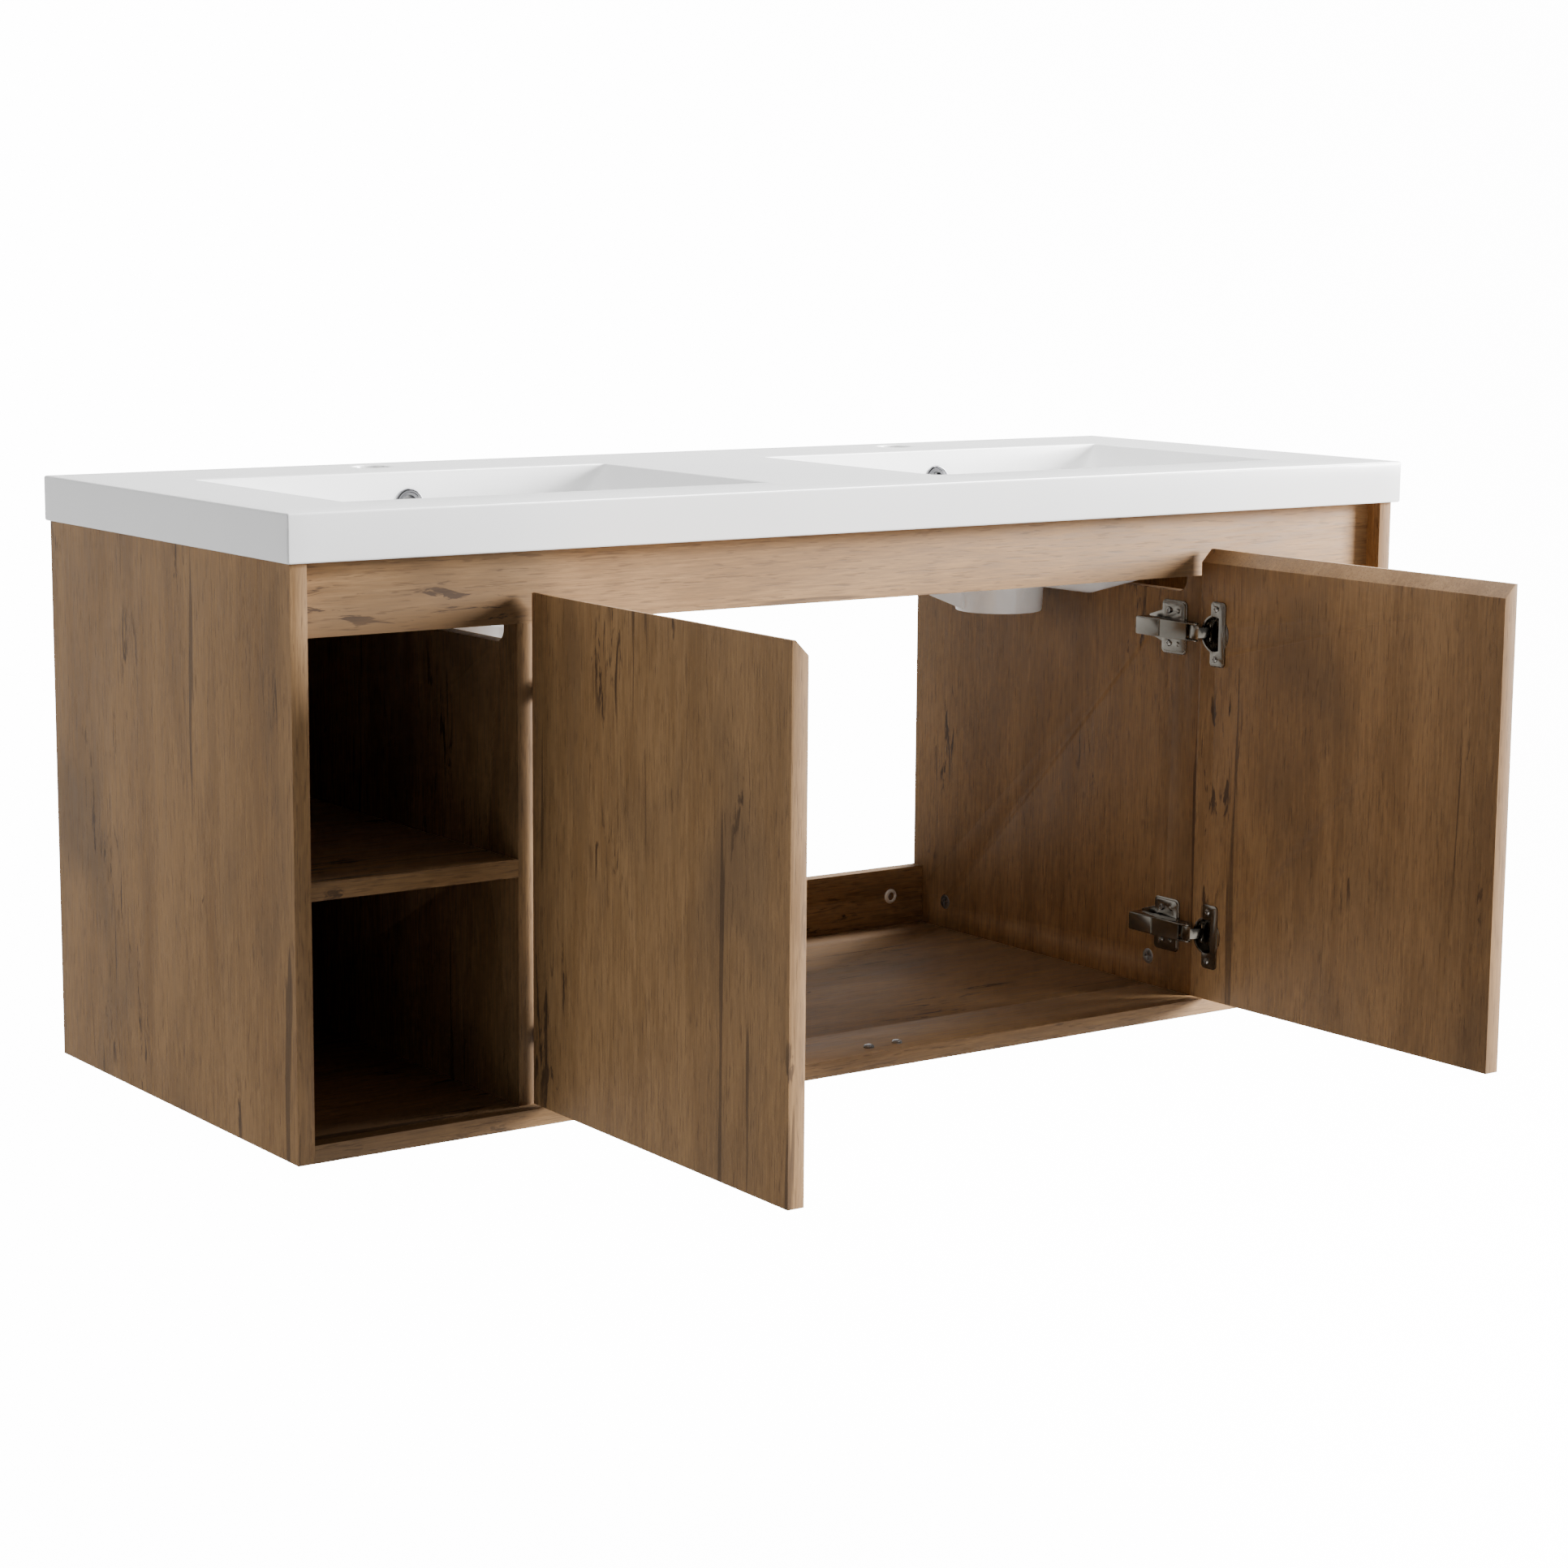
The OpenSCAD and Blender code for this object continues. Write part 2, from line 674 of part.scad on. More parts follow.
module hinge_link(side, z) {
    color(NICKEL) at_pole(side, z) translate(arm_pin) rotate(link_ratio * (91 - open_angle))
        translate(-arm_pin) difference() {
            union() {
                translate([0, 0, -hook_z]) linear_extrude(2 * hook_z) polygon(link_sheet);
                for (low = [-hook_z, hook_z - metal])
                    translate([0, 0, low]) linear_extrude(metal) polygon(link_cheek);
                translate([0, 0, -link_z]) linear_extrude(2 * link_z)
                    polygon([[-18.9, 12], [-19.2, 5], [-17.8, 0.2], [-16.5, 1], [-17.6, 12]]);
            }
            translate([arm_pin[0], arm_pin[1], -link_z - 1]) cylinder(r = pin_r + 0.06, h = 2 * link_z + 2);
        }
}

cast_top();
overflow_ring(LEFT);  // overflow_ring_left
overflow_ring(RIGHT);  // overflow_ring_right
end_panel(LEFT);  // end_panel_left
end_panel(RIGHT);  // end_panel_right
floor_panel();
divider(LEFT);  // divider_left
divider(RIGHT);  // divider_right
front_rail();
upper_back_rail();
lower_back_rail();
shelf(LEFT);  // shelf_left
shelf(RIGHT);  // shelf_right
back_panel(LEFT);  // back_panel_left
back_panel(RIGHT);  // back_panel_right
cam_locks();
cam_bolts();
dowels();
wall_washers();
door_bumpers();
door(LEFT);  // door_left
door(RIGHT);  // door_right
hinge_cup(LEFT, upper_hinge_z);  // hinge_cup_left_upper
hinge_cup(LEFT, lower_hinge_z);  // hinge_cup_left_lower
hinge_cup(RIGHT, upper_hinge_z);  // hinge_cup_right_upper
hinge_cup(RIGHT, lower_hinge_z);  // hinge_cup_right_lower
hinge_link(LEFT, upper_hinge_z);  // hinge_link_left_upper
hinge_link(LEFT, lower_hinge_z);  // hinge_link_left_lower
hinge_link(RIGHT, upper_hinge_z);  // hinge_link_right_upper
hinge_link(RIGHT, lower_hinge_z);  // hinge_link_right_lower
hinge_arm(LEFT, upper_hinge_z);  // hinge_arm_left_upper
hinge_arm(LEFT, lower_hinge_z);  // hinge_arm_left_lower
hinge_arm(RIGHT, upper_hinge_z);  // hinge_arm_right_upper
hinge_arm(RIGHT, lower_hinge_z);  // hinge_arm_right_lower
hinge_plate(LEFT, upper_hinge_z);  // hinge_plate_left_upper
hinge_plate(LEFT, lower_hinge_z);  // hinge_plate_left_lower
hinge_plate(RIGHT, upper_hinge_z);  // hinge_plate_right_upper
hinge_plate(RIGHT, lower_hinge_z);  // hinge_plate_right_lower
cup_pins(LEFT);  // cup_pins_left
cup_pins(RIGHT);  // cup_pins_right
dampers(LEFT);  // dampers_left
dampers(RIGHT);  // dampers_right
cup_screws(LEFT);  // cup_screws_left
cup_screws(RIGHT);  // cup_screws_right
arm_pins();
arm_screws();
plate_screws();
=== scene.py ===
"""Looks of a wall-hung bathroom vanity: a glossy cast top on an oak-look cabinet with open doors.

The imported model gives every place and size. Boards and metalwork are finished copies of its solids
with eased edges, and the cast top, the overflow rings and the bumpers are surfaces worked out here.
"""

import json
import logging
import math
from dataclasses import dataclass, field
from enum import Enum

import bmesh
import bpy
import numpy as np
from mathutils import Matrix, Vector


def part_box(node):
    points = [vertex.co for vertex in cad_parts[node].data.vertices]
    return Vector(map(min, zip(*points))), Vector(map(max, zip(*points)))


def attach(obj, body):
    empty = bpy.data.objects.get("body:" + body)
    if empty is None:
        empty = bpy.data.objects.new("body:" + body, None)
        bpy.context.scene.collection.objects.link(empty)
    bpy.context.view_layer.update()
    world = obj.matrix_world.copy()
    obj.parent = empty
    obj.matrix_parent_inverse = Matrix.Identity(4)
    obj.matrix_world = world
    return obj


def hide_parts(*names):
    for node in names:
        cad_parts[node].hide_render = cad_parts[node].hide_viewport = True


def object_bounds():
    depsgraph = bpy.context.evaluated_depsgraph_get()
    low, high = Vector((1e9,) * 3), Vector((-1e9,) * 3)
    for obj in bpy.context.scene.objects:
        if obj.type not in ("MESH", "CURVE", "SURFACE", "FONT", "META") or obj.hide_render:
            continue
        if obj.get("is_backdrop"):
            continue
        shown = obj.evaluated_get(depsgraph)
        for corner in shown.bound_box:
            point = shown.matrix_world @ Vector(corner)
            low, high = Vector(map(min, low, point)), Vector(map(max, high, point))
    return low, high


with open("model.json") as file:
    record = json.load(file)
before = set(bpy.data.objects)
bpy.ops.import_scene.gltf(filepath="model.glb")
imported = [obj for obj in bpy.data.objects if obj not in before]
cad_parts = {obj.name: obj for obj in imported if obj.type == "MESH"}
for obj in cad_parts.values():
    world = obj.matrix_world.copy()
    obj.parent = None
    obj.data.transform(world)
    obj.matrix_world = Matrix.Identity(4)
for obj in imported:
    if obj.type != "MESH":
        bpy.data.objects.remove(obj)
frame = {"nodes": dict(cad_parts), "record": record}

Colour = tuple[float, float, float, float]
Triple = tuple[float, float, float]
Socket = bpy.types.NodeSocket

LOG = logging.getLogger("vanity")
MM = 0.001
SIDES = ("left", "right")
LEVELS = ("upper", "lower")
QUARTER = math.pi / 2
DOUBLE_DISTANCE = 2e-6  # points nearer than this are one, in metres
EMPTY_DISTANCE = 1e-6  # edges shorter than this bound no area, in metres
COPLANAR_ANGLE = math.radians(0.6)  # triangles of one flat CAD face turn by less
EASED_ANGLE = math.radians(28)  # edges that turn by more are eased
EASED_STEPS = 2


# ---------- node materials ----------


class Grain(Enum):
    """Direction in which the wood print runs on a board."""

    ALONG_X = "x"
    ALONG_Z = "z"


class NodeBoard:
    """One material's node tree, with short calls for the nodes that the finishes share."""

    def __init__(self, name: str) -> None:
        """Starts a material with a principled shader.

        Args:
            name: the material's name.
        """
        self.material = bpy.data.materials.new(name)
        self.material.use_nodes = True
        self.nodes = self.material.node_tree.nodes
        self.links = self.material.node_tree.links
        self.shader = self.nodes["Principled BSDF"]

    def add(self, kind: str, **inputs: object) -> bpy.types.Node:
        """Adds a node and fills its inputs.

        Args:
            kind: the node's type name, without its ShaderNode prefix.
            inputs: values or sockets by input name, with underscores for spaces.

        Returns:
            The new node.
        """
        node = self.nodes.new("ShaderNode" + kind)
        for key, value in inputs.items():
            self.feed(node.inputs[key.replace("_", " ")], value)
        return node

    def feed(self, socket: Socket, value: object) -> None:
        """Links a socket to another, or sets its number."""
        if isinstance(value, Socket):
            self.links.new(value, socket)
        else:
            socket.default_value = value

    def place(self, scale: Triple, shift: Triple = (0, 0, 0)) -> Socket:
        """Object coordinates, moved and then stretched.

        Args:
            scale: repeats for a metre along each axis.
            shift: how far the pattern is moved, in metres before the stretch.

        Returns:
            The vector socket.
        """
        coordinates = self.add("TexCoord").outputs["Object"]
        moved = self.nodes.new("ShaderNodeVectorMath")
        moved.operation = "ADD"
        self.feed(moved.inputs[0], coordinates)
        moved.inputs[1].default_value = shift
        return self.add("Mapping", Vector=moved.outputs[0], Scale=scale).outputs[0]

    def noise(self, vector: Socket, detail: float, roughness: float = 0.5,
              distortion: float = 0.0) -> Socket:
        """Value of a fractal noise with a cell a unit wide, near 0.5 on average."""
        node = self.add("TexNoise", Vector=vector, Scale=1.0, Detail=detail, Roughness=roughness,
                        Distortion=distortion)
        return node.outputs[0]

    def cloud(self, scale: float, detail: float = 2.0) -> Socket:
        """Noise that is the same in every direction, with `scale` cells a metre."""
        return self.noise(self.place((scale, scale, scale)), detail)

    def remap(self, value: Socket, low: float, high: float, to_low: float = 0.0,
              to_high: float = 1.0) -> Socket:
        """Value carried smoothly from low..high to to_low..to_high, and held at both ends."""
        node = self.nodes.new("ShaderNodeMapRange")
        node.interpolation_type = "SMOOTHSTEP"
        for index, number in enumerate((low, high, to_low, to_high)):
            node.inputs[index + 1].default_value = number
        self.feed(node.inputs[0], value)
        return node.outputs[0]

    def vary(self, value: Socket, low: float, high: float) -> Socket:
        """Usual range of a noise, 0.3 to 0.7, carried to low..high."""
        return self.remap(value, 0.3, 0.7, low, high)

    def math(self, operation: str, first: object, second: object) -> Socket:
        """Result of a math node."""
        node = self.nodes.new("ShaderNodeMath")
        node.operation = operation
        self.feed(node.inputs[0], first)
        self.feed(node.inputs[1], second)
        return node.outputs[0]

    def times(self, value: Socket, share: float) -> Socket:
        """A value's share."""
        return self.math("MULTIPLY", value, share)

    def mix(self, amount: Socket, first: object, second: object) -> Socket:
        """Mix of two colours, from the first at 0 to the second at 1."""
        node = self.nodes.new("ShaderNodeMix")
        node.data_type = "RGBA"
        self.feed(node.inputs["Factor"], amount)
        for socket, value in zip([s for s in node.inputs if s.type == "RGBA"], (first, second)):
            self.feed(socket, value)
        return [s for s in node.outputs if s.type == "RGBA"][0]

    def bump(self, height: Socket, strength: float, distance: float) -> None:
        """Raises the surface by a height pattern, on top of any bump that is there.

        Args:
            height: the pattern, from 0 to 1.
            strength: share of the effect.
            distance: height of a full step, in metres.
        """
        node = self.add("Bump", Height=height, Strength=strength, Distance=distance)
        normal = self.shader.inputs["Normal"]
        if normal.is_linked:
            self.links.new(normal.links[0].from_socket, node.inputs["Normal"])
        self.links.new(node.outputs[0], normal)

    def shade(self, **inputs: object) -> None:
        """Fills the shader's own inputs, named with underscores for spaces."""
        for key, value in inputs.items():
            self.feed(self.shader.inputs[key.replace("_", " ")], value)


def rgb(red: float, green: float, blue: float) -> Colour:
    """Opaque colour in linear light."""
    return (red, green, blue, 1.0)


def scaled(colour: Colour, share: float) -> Colour:
    """Colour with its channels scaled and held at full light."""
    return rgb(*(min(1.0, channel * share) for channel in colour[:3]))


@dataclass(frozen=True)
class OakLaminate:
    """Matt printed oak on board: fibres, soft smoky patches, pores and dark marks.

    The pattern is a solid one, stretched along the grain, so the fibres on a board's faces carry on
    over its edges.
    """

    grain: Grain
    seed: float
    light: Colour = rgb(0.295, 0.171, 0.076)
    dark: Colour = rgb(0.200, 0.110, 0.045)
    smoke: Colour = rgb(0.122, 0.074, 0.038)
    split: Colour = rgb(0.032, 0.018, 0.011)
    roughness: float = 0.58

    def strands(self, board: NodeBoard, scale: float, ratio: float, detail: float,
                roughness: float = 0.5, distortion: float = 0.0) -> Socket:
        """Noise drawn out along the grain, moved to a place of its own by the seed.

        Args:
            board: the node tree.
            scale: cells a metre across the grain.
            ratio: how many times longer than wide a cell is.
            detail: octaves of the noise.
            roughness: share that each octave keeps.
            distortion: how far the cells are bent.

        Returns:
            The noise.
        """
        along = scale / ratio
        scales = (along, scale, scale) if self.grain is Grain.ALONG_X else (scale, scale, along)
        shift = (self.seed * 0.73, self.seed * 1.31, self.seed * 0.47)
        return board.noise(board.place(scales, shift), detail, roughness, distortion)

    def marks(self, board: NodeBoard) -> Socket:
        """Short splits in some places, long seams and small knots, from 0 to 1."""
        where = board.remap(self.strands(board, 13.0, 2.4, 1.0, 0.4), 0.58, 0.68)
        line = board.remap(self.strands(board, 105.0, 7.0, 4.0, 0.65, 0.8), 0.56, 0.62)
        seam = board.remap(self.strands(board, 46.0, 26.0, 3.0, 0.6, 0.4), 0.655, 0.685)
        knot = board.remap(self.strands(board, 30.0, 1.7, 3.0, 0.62, 0.6), 0.735, 0.78)
        splits = board.times(board.math("MULTIPLY", where, line), 0.8)
        others = board.math("MAXIMUM", board.times(seam, 0.6), board.times(knot, 0.7))
        return board.math("MAXIMUM", splits, others)

    def build(self) -> bpy.types.Material:
        """Makes the material.

        Returns:
            The oak material.
        """
        board = NodeBoard(f"oak_laminate_{self.grain.value}_{self.seed:.0f}")
        bands = self.strands(board, 15.0, 5.5, 5.0, 0.58, 0.9)
        fibre = self.strands(board, 330.0, 17.0, 4.0, 0.62, 0.2)
        fine = self.strands(board, 1100.0, 26.0, 2.0, 0.6)
        patches = self.strands(board, 7.0, 2.0, 3.0, 0.55, 0.5)
        pores = board.remap(self.strands(board, 640.0, 14.0, 1.0), 0.60, 0.70)
        marks = self.marks(board)
        tone = board.math("ADD", board.times(bands, 0.55), board.times(fibre, 0.45))
        colour = board.mix(board.remap(tone, 0.38, 0.62), self.dark, self.light)
        colour = board.mix(board.remap(patches, 0.50, 0.72, 0.0, 0.60), colour, self.smoke)
        colour = board.mix(board.remap(fine, 0.32, 0.60, 0.38, 0.0), colour, self.smoke)
        colour = board.mix(board.times(pores, 0.34), colour, self.split)
        colour = board.mix(marks, colour, self.split)
        board.shade(Base_Color=colour, Specular_IOR_Level=0.20,
                    Roughness=board.vary(fibre, self.roughness - 0.05, self.roughness + 0.07))
        board.bump(fine, 0.30, 0.12 * MM)
        board.bump(fibre, 0.35, 0.10 * MM)
        open_grain = board.math("MAXIMUM", pores, marks)
        board.bump(board.math("SUBTRACT", 1.0, open_grain), 0.4, 0.10 * MM)
        return board.material


@dataclass(frozen=True)
class GelCoat:
    """Polished white gel coat on cast stone: clear gloss with the faintest waviness."""

    colour: Colour = rgb(0.94, 0.94, 0.935)
    shade_colour: Colour = rgb(0.91, 0.912, 0.912)

    def build(self) -> bpy.types.Material:
        """Makes the material.

        Returns:
            The gel coat material.
        """
        board = NodeBoard("gel_coat")
        tone = board.remap(board.cloud(6.0), 0.35, 0.7)
        board.shade(Base_Color=board.mix(tone, self.colour, self.shade_colour),
                    Roughness=board.vary(board.cloud(900.0, 1.0), 0.15, 0.21),
                    Coat_Weight=0.35, Coat_Roughness=0.05)
        board.bump(board.cloud(38.0), 0.08, 0.4 * MM)
        return board.material


@dataclass(frozen=True)
class PlatedMetal:
    """Plated steel with fine rolling lines and a slightly cloudy gloss."""

    name: str
    colour: Colour
    roughness: float
    lines: float = 0.015
    scratch: float = 0.25

    def build(self) -> bpy.types.Material:
        """Makes the material.

        Returns:
            The metal material.
        """
        board = NodeBoard(self.name)
        cloud = board.cloud(55.0)
        brush = board.noise(board.place((1400.0, 1400.0, 90.0)), 1.0)
        rough = board.math("ADD", board.vary(cloud, self.roughness - 0.01, self.roughness + 0.01),
                           board.times(brush, self.lines))
        colour = board.mix(board.remap(cloud, 0.45, 0.8), self.colour, scaled(self.colour, 0.96))
        board.shade(Base_Color=colour, Metallic=1.0, Roughness=rough)
        board.bump(brush, self.scratch, 0.001 * MM)
        return board.material


@dataclass(frozen=True)
class MouldedPlastic:
    """Plain moulded plastic with a fine spark-eroded skin."""

    name: str
    colour: Colour
    roughness: float = 0.42

    def build(self) -> bpy.types.Material:
        """Makes the material.

        Returns:
            The plastic material.
        """
        board = NodeBoard(self.name)
        skin = board.cloud(1500.0)
        tone = board.remap(board.cloud(90.0), 0.4, 0.7)
        board.shade(Base_Color=board.mix(tone, self.colour, scaled(self.colour, 1.12)),
                    Roughness=board.vary(skin, self.roughness - 0.05, self.roughness + 0.05))
        board.bump(skin, 0.25, 0.04 * MM)
        return board.material


@dataclass(frozen=True)
class ClearBumper:
    """Clear soft polyurethane of a stick-on bumper."""

    def build(self) -> bpy.types.Material:
        """Makes the material.

        Returns:
            The clear material.
        """
        board = NodeBoard("clear_bumper")
        haze = board.cloud(700.0)
        board.shade(Base_Color=board.mix(haze, rgb(0.86, 0.88, 0.89), rgb(0.96, 0.97, 0.98)),
                    Roughness=board.vary(haze, 0.06, 0.14), Transmission_Weight=0.82, IOR=1.48)
        board.bump(haze, 0.1, 0.03 * MM)
        return board.material


@dataclass(frozen=True)
class Beech:
    """Raw beech of the dowels: straight flecked grain."""

    def build(self) -> bpy.types.Material:
        """Makes the material.

        Returns:
            The beech material.
        """
        board = NodeBoard("beech")
        fleck = board.noise(board.place((700.0, 90.0, 700.0)), 3.0)
        tone = board.remap(fleck, 0.35, 0.65)
        board.shade(Base_Color=board.mix(tone, rgb(0.36, 0.22, 0.11), rgb(0.55, 0.37, 0.20)),
                    Roughness=board.vary(fleck, 0.55, 0.7))
        board.bump(fleck, 0.3, 0.08 * MM)
        return board.material


@dataclass(frozen=True)
class StudioPaper:
    """Seamless pale paper of the studio floor, which looks lit and shines in glossy faces."""

    glow: float = 14.0
    glow_in_gloss: float = 0.03

    def build(self) -> bpy.types.Material:
        """Makes the material.

        Returns:
            The paper material.
        """
        board = NodeBoard("studio_paper")
        path = board.add("LightPath").outputs
        gloss = board.times(path["Is Glossy Ray"], self.glow_in_gloss)
        seen = board.math("MAXIMUM", path["Is Camera Ray"], gloss)
        pulp = board.mix(board.cloud(3.0), rgb(0.30, 0.30, 0.30), rgb(0.33, 0.33, 0.33))
        board.shade(Base_Color=pulp, Roughness=0.9, Emission_Color=rgb(1.0, 1.0, 1.0),
                    Emission_Strength=board.times(seen, self.glow))
        return board.material


# ---------- surfaces ----------


@dataclass
class Surface:
    """Corner points, four-sided faces and flat end caps of one closed surface."""

    points: np.ndarray
    quads: np.ndarray
    caps: tuple[np.ndarray, ...] = ()

    def joined(self, other: "Surface") -> "Surface":
        """This surface and another one as a single surface."""
        count = len(self.points)
        return Surface(np.vstack((self.points, other.points)),
                       np.vstack((self.quads, other.quads + count)),
                       self.caps + tuple(cap + count for cap in other.caps))

    def to_object(self, name: str) -> bpy.types.Object:
        """Puts the surface into a new object, merges its doubles and turns its faces outwards.

        Args:
            name: the object's name.

        Returns:
            The object, in the scene.
        """
        mesh = bpy.data.meshes.new(name)
        faces = self.quads.tolist() + [cap.tolist() for cap in self.caps]
        mesh.from_pydata(self.points.tolist(), [], faces)
        tidy_mesh(mesh)
        piece = bpy.data.objects.new(name, mesh)
        bpy.context.scene.collection.objects.link(piece)
        return piece


def tidy_mesh(mesh: bpy.types.Mesh, flat: float = 0.0) -> None:
    """Merges a mesh's doubles, drops faces without area and turns the rest outwards.

    Args:
        mesh: the mesh.
        flat: angle in radians under which neighbouring faces become one, or 0 to keep them all.
    """
    work = bmesh.new()
    work.from_mesh(mesh)
    bmesh.ops.remove_doubles(work, verts=work.verts, dist=DOUBLE_DISTANCE)
    bmesh.ops.dissolve_degenerate(work, edges=work.edges, dist=EMPTY_DISTANCE)
    if flat:
        bmesh.ops.dissolve_limit(work, angle_limit=flat, verts=work.verts, edges=work.edges,
                                 delimit={"NORMAL"})
    bmesh.ops.recalc_face_normals(work, faces=work.faces)
    work.to_mesh(mesh)
    work.free()


def grid_quads(rows: int, columns: int, around: bool = False) -> np.ndarray:
    """Faces of a grid of points stored row by row.

    Args:
        rows: number of rows.
        columns: number of columns.
        around: whether the last column joins the first.

    Returns:
        Four point numbers for each face.
    """
    last = columns if around else columns - 1
    row, column = np.meshgrid(np.arange(rows - 1), np.arange(last), indexing="ij")
    after = (column + 1) % columns
    quads = np.stack((row * columns + column, row * columns + after,
                      (row + 1) * columns + after, (row + 1) * columns + column), axis=-1)
    return quads.reshape(-1, 4)


def lathe(profile: np.ndarray, turns: int = 64) -> Surface:
    """Closed profile of (radius, height) pairs turned about the Z axis.

    A point is (r cos a, r sin a, z) for each profile pair (r, z) and each angle a. The angles start
    half a step off the X axis.

    Args:
        profile: the pairs, in order. The last one joins the first, unless both lie on the axis.
        turns: number of steps in a full turn.

    Returns:
        The surface.
    """
    angles = (np.arange(turns) + 0.5) * 2 * math.pi / turns
    ring = profile if profile[0, 0] == profile[-1, 0] == 0 else np.vstack((profile, profile[:1]))
    points = np.stack((ring[:, :1] * np.cos(angles), ring[:, :1] * np.sin(angles),
                       np.repeat(ring[:, 1:], turns, axis=1)), axis=-1)
    return Surface(points.reshape(-1, 3), grid_quads(len(ring), turns, around=True))


def rounded_path(corners: np.ndarray, radii: list[float], steps: int = 7) -> np.ndarray:
    """Path through corners, each inner corner replaced by an arc.

    With h half the angle between the legs, the arc of radius r has its centre r / sin(h) from the
    corner and touches both legs r / tan(h) from it. Its points are the centre plus r times the unit
    vectors between the two touching directions.

    Args:
        corners: the corners, one pair a row.
        radii: a radius for each inner corner.
        steps: points on each arc.

    Returns:
        The path's points.
    """
    path = [corners[:1]]
    for before, corner, after, radius in zip(corners[:-2], corners[1:-1], corners[2:], radii):
        back = (before - corner) / np.linalg.norm(before - corner)
        ahead = (after - corner) / np.linalg.norm(after - corner)
        half = math.acos(float(np.clip(back @ ahead, -1, 1))) / 2
        centre = corner + (back + ahead) / np.linalg.norm(back + ahead) * radius / math.sin(half)
        start = corner + back * radius / math.tan(half) - centre
        end = corner + ahead * radius / math.tan(half) - centre
        first = math.atan2(start[1], start[0])
        turn = math.atan2(start[0] * end[1] - start[1] * end[0], float(start @ end))
        angles = first + turn * np.linspace(0, 1, steps)
        path.append(centre + radius * np.stack((np.cos(angles), np.sin(angles)), axis=-1))
    path.append(corners[-1:])
    return np.vstack(path)


def smooth_edges(piece: bpy.types.Object, degrees: float = 32.0) -> None:
    """Shades a piece smooth, with creases where its faces turn by more than an angle."""
    piece.data.shade_smooth()
    piece.data.set_sharp_from_angle(angle=math.radians(degrees))


def carve(piece: bpy.types.Object, tool: bpy.types.Object, operation: str) -> None:
    """Cuts a closed tool out of a piece, or welds it on, and removes the tool.

    Args:
        piece: the piece, which keeps its object.
        tool: the closed tool.
        operation: DIFFERENCE or UNION.
    """
    change = piece.modifiers.new("carve", "BOOLEAN")
    change.operation = operation
    change.solver = "EXACT"
    change.object = tool
    bpy.context.view_layer.update()
    cut = piece.evaluated_get(bpy.context.evaluated_depsgraph_get())
    result = bpy.data.meshes.new_from_object(cut)
    piece.modifiers.clear()
    piece.data = result
    bpy.data.objects.remove(tool)


def hand_over(piece: bpy.types.Object, body: str, slot: str, finish: bpy.types.Material,
              *nodes: str) -> None:
    """Gives a finished piece its material and its body, and hides the CAD nodes that it stands for.

    Args:
        piece: the finished piece, placed in its mesh.
        body: the body that it moves with.
        slot: the record's material slot; not used.
        finish: its material.
        nodes: CAD nodes that it replaces.
    """
    piece.data.materials.clear()
    piece.data.materials.append(finish)
    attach(piece, body)
    if nodes:
        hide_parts(*nodes)
    LOG.info("%s rides on %s with %s", piece.name, body, finish.name)


def body_of(node: str) -> str:
    """Name of the body that a CAD node belongs to."""
    groups = frame["record"]["behaviour"]["bodies"]
    return next(body for body, members in groups.items() if node in members)


def eased_copy(node: str, width: float, name: str) -> bpy.types.Object:
    """Copy of a CAD node with its doubles merged and its edges eased by a bevel.

    Args:
        node: the CAD node.
        width: width of the bevel in metres.
        name: name of the new piece.

    Returns:
        The new piece, in the scene.
    """
    mesh = frame["nodes"][node].data.copy()
    tidy_mesh(mesh, flat=COPLANAR_ANGLE)
    piece = bpy.data.objects.new(name, mesh)
    bpy.context.scene.collection.objects.link(piece)
    mesh.shade_smooth()
    bevel = piece.modifiers.new("eased_edges", "BEVEL")
    bevel.width = width
    bevel.segments = EASED_STEPS
    bevel.limit_method = "ANGLE"
    bevel.angle_limit = EASED_ANGLE
    bevel.harden_normals = True
    bevel.use_clamp_overlap = True
    return piece


# ---------- cast top ----------


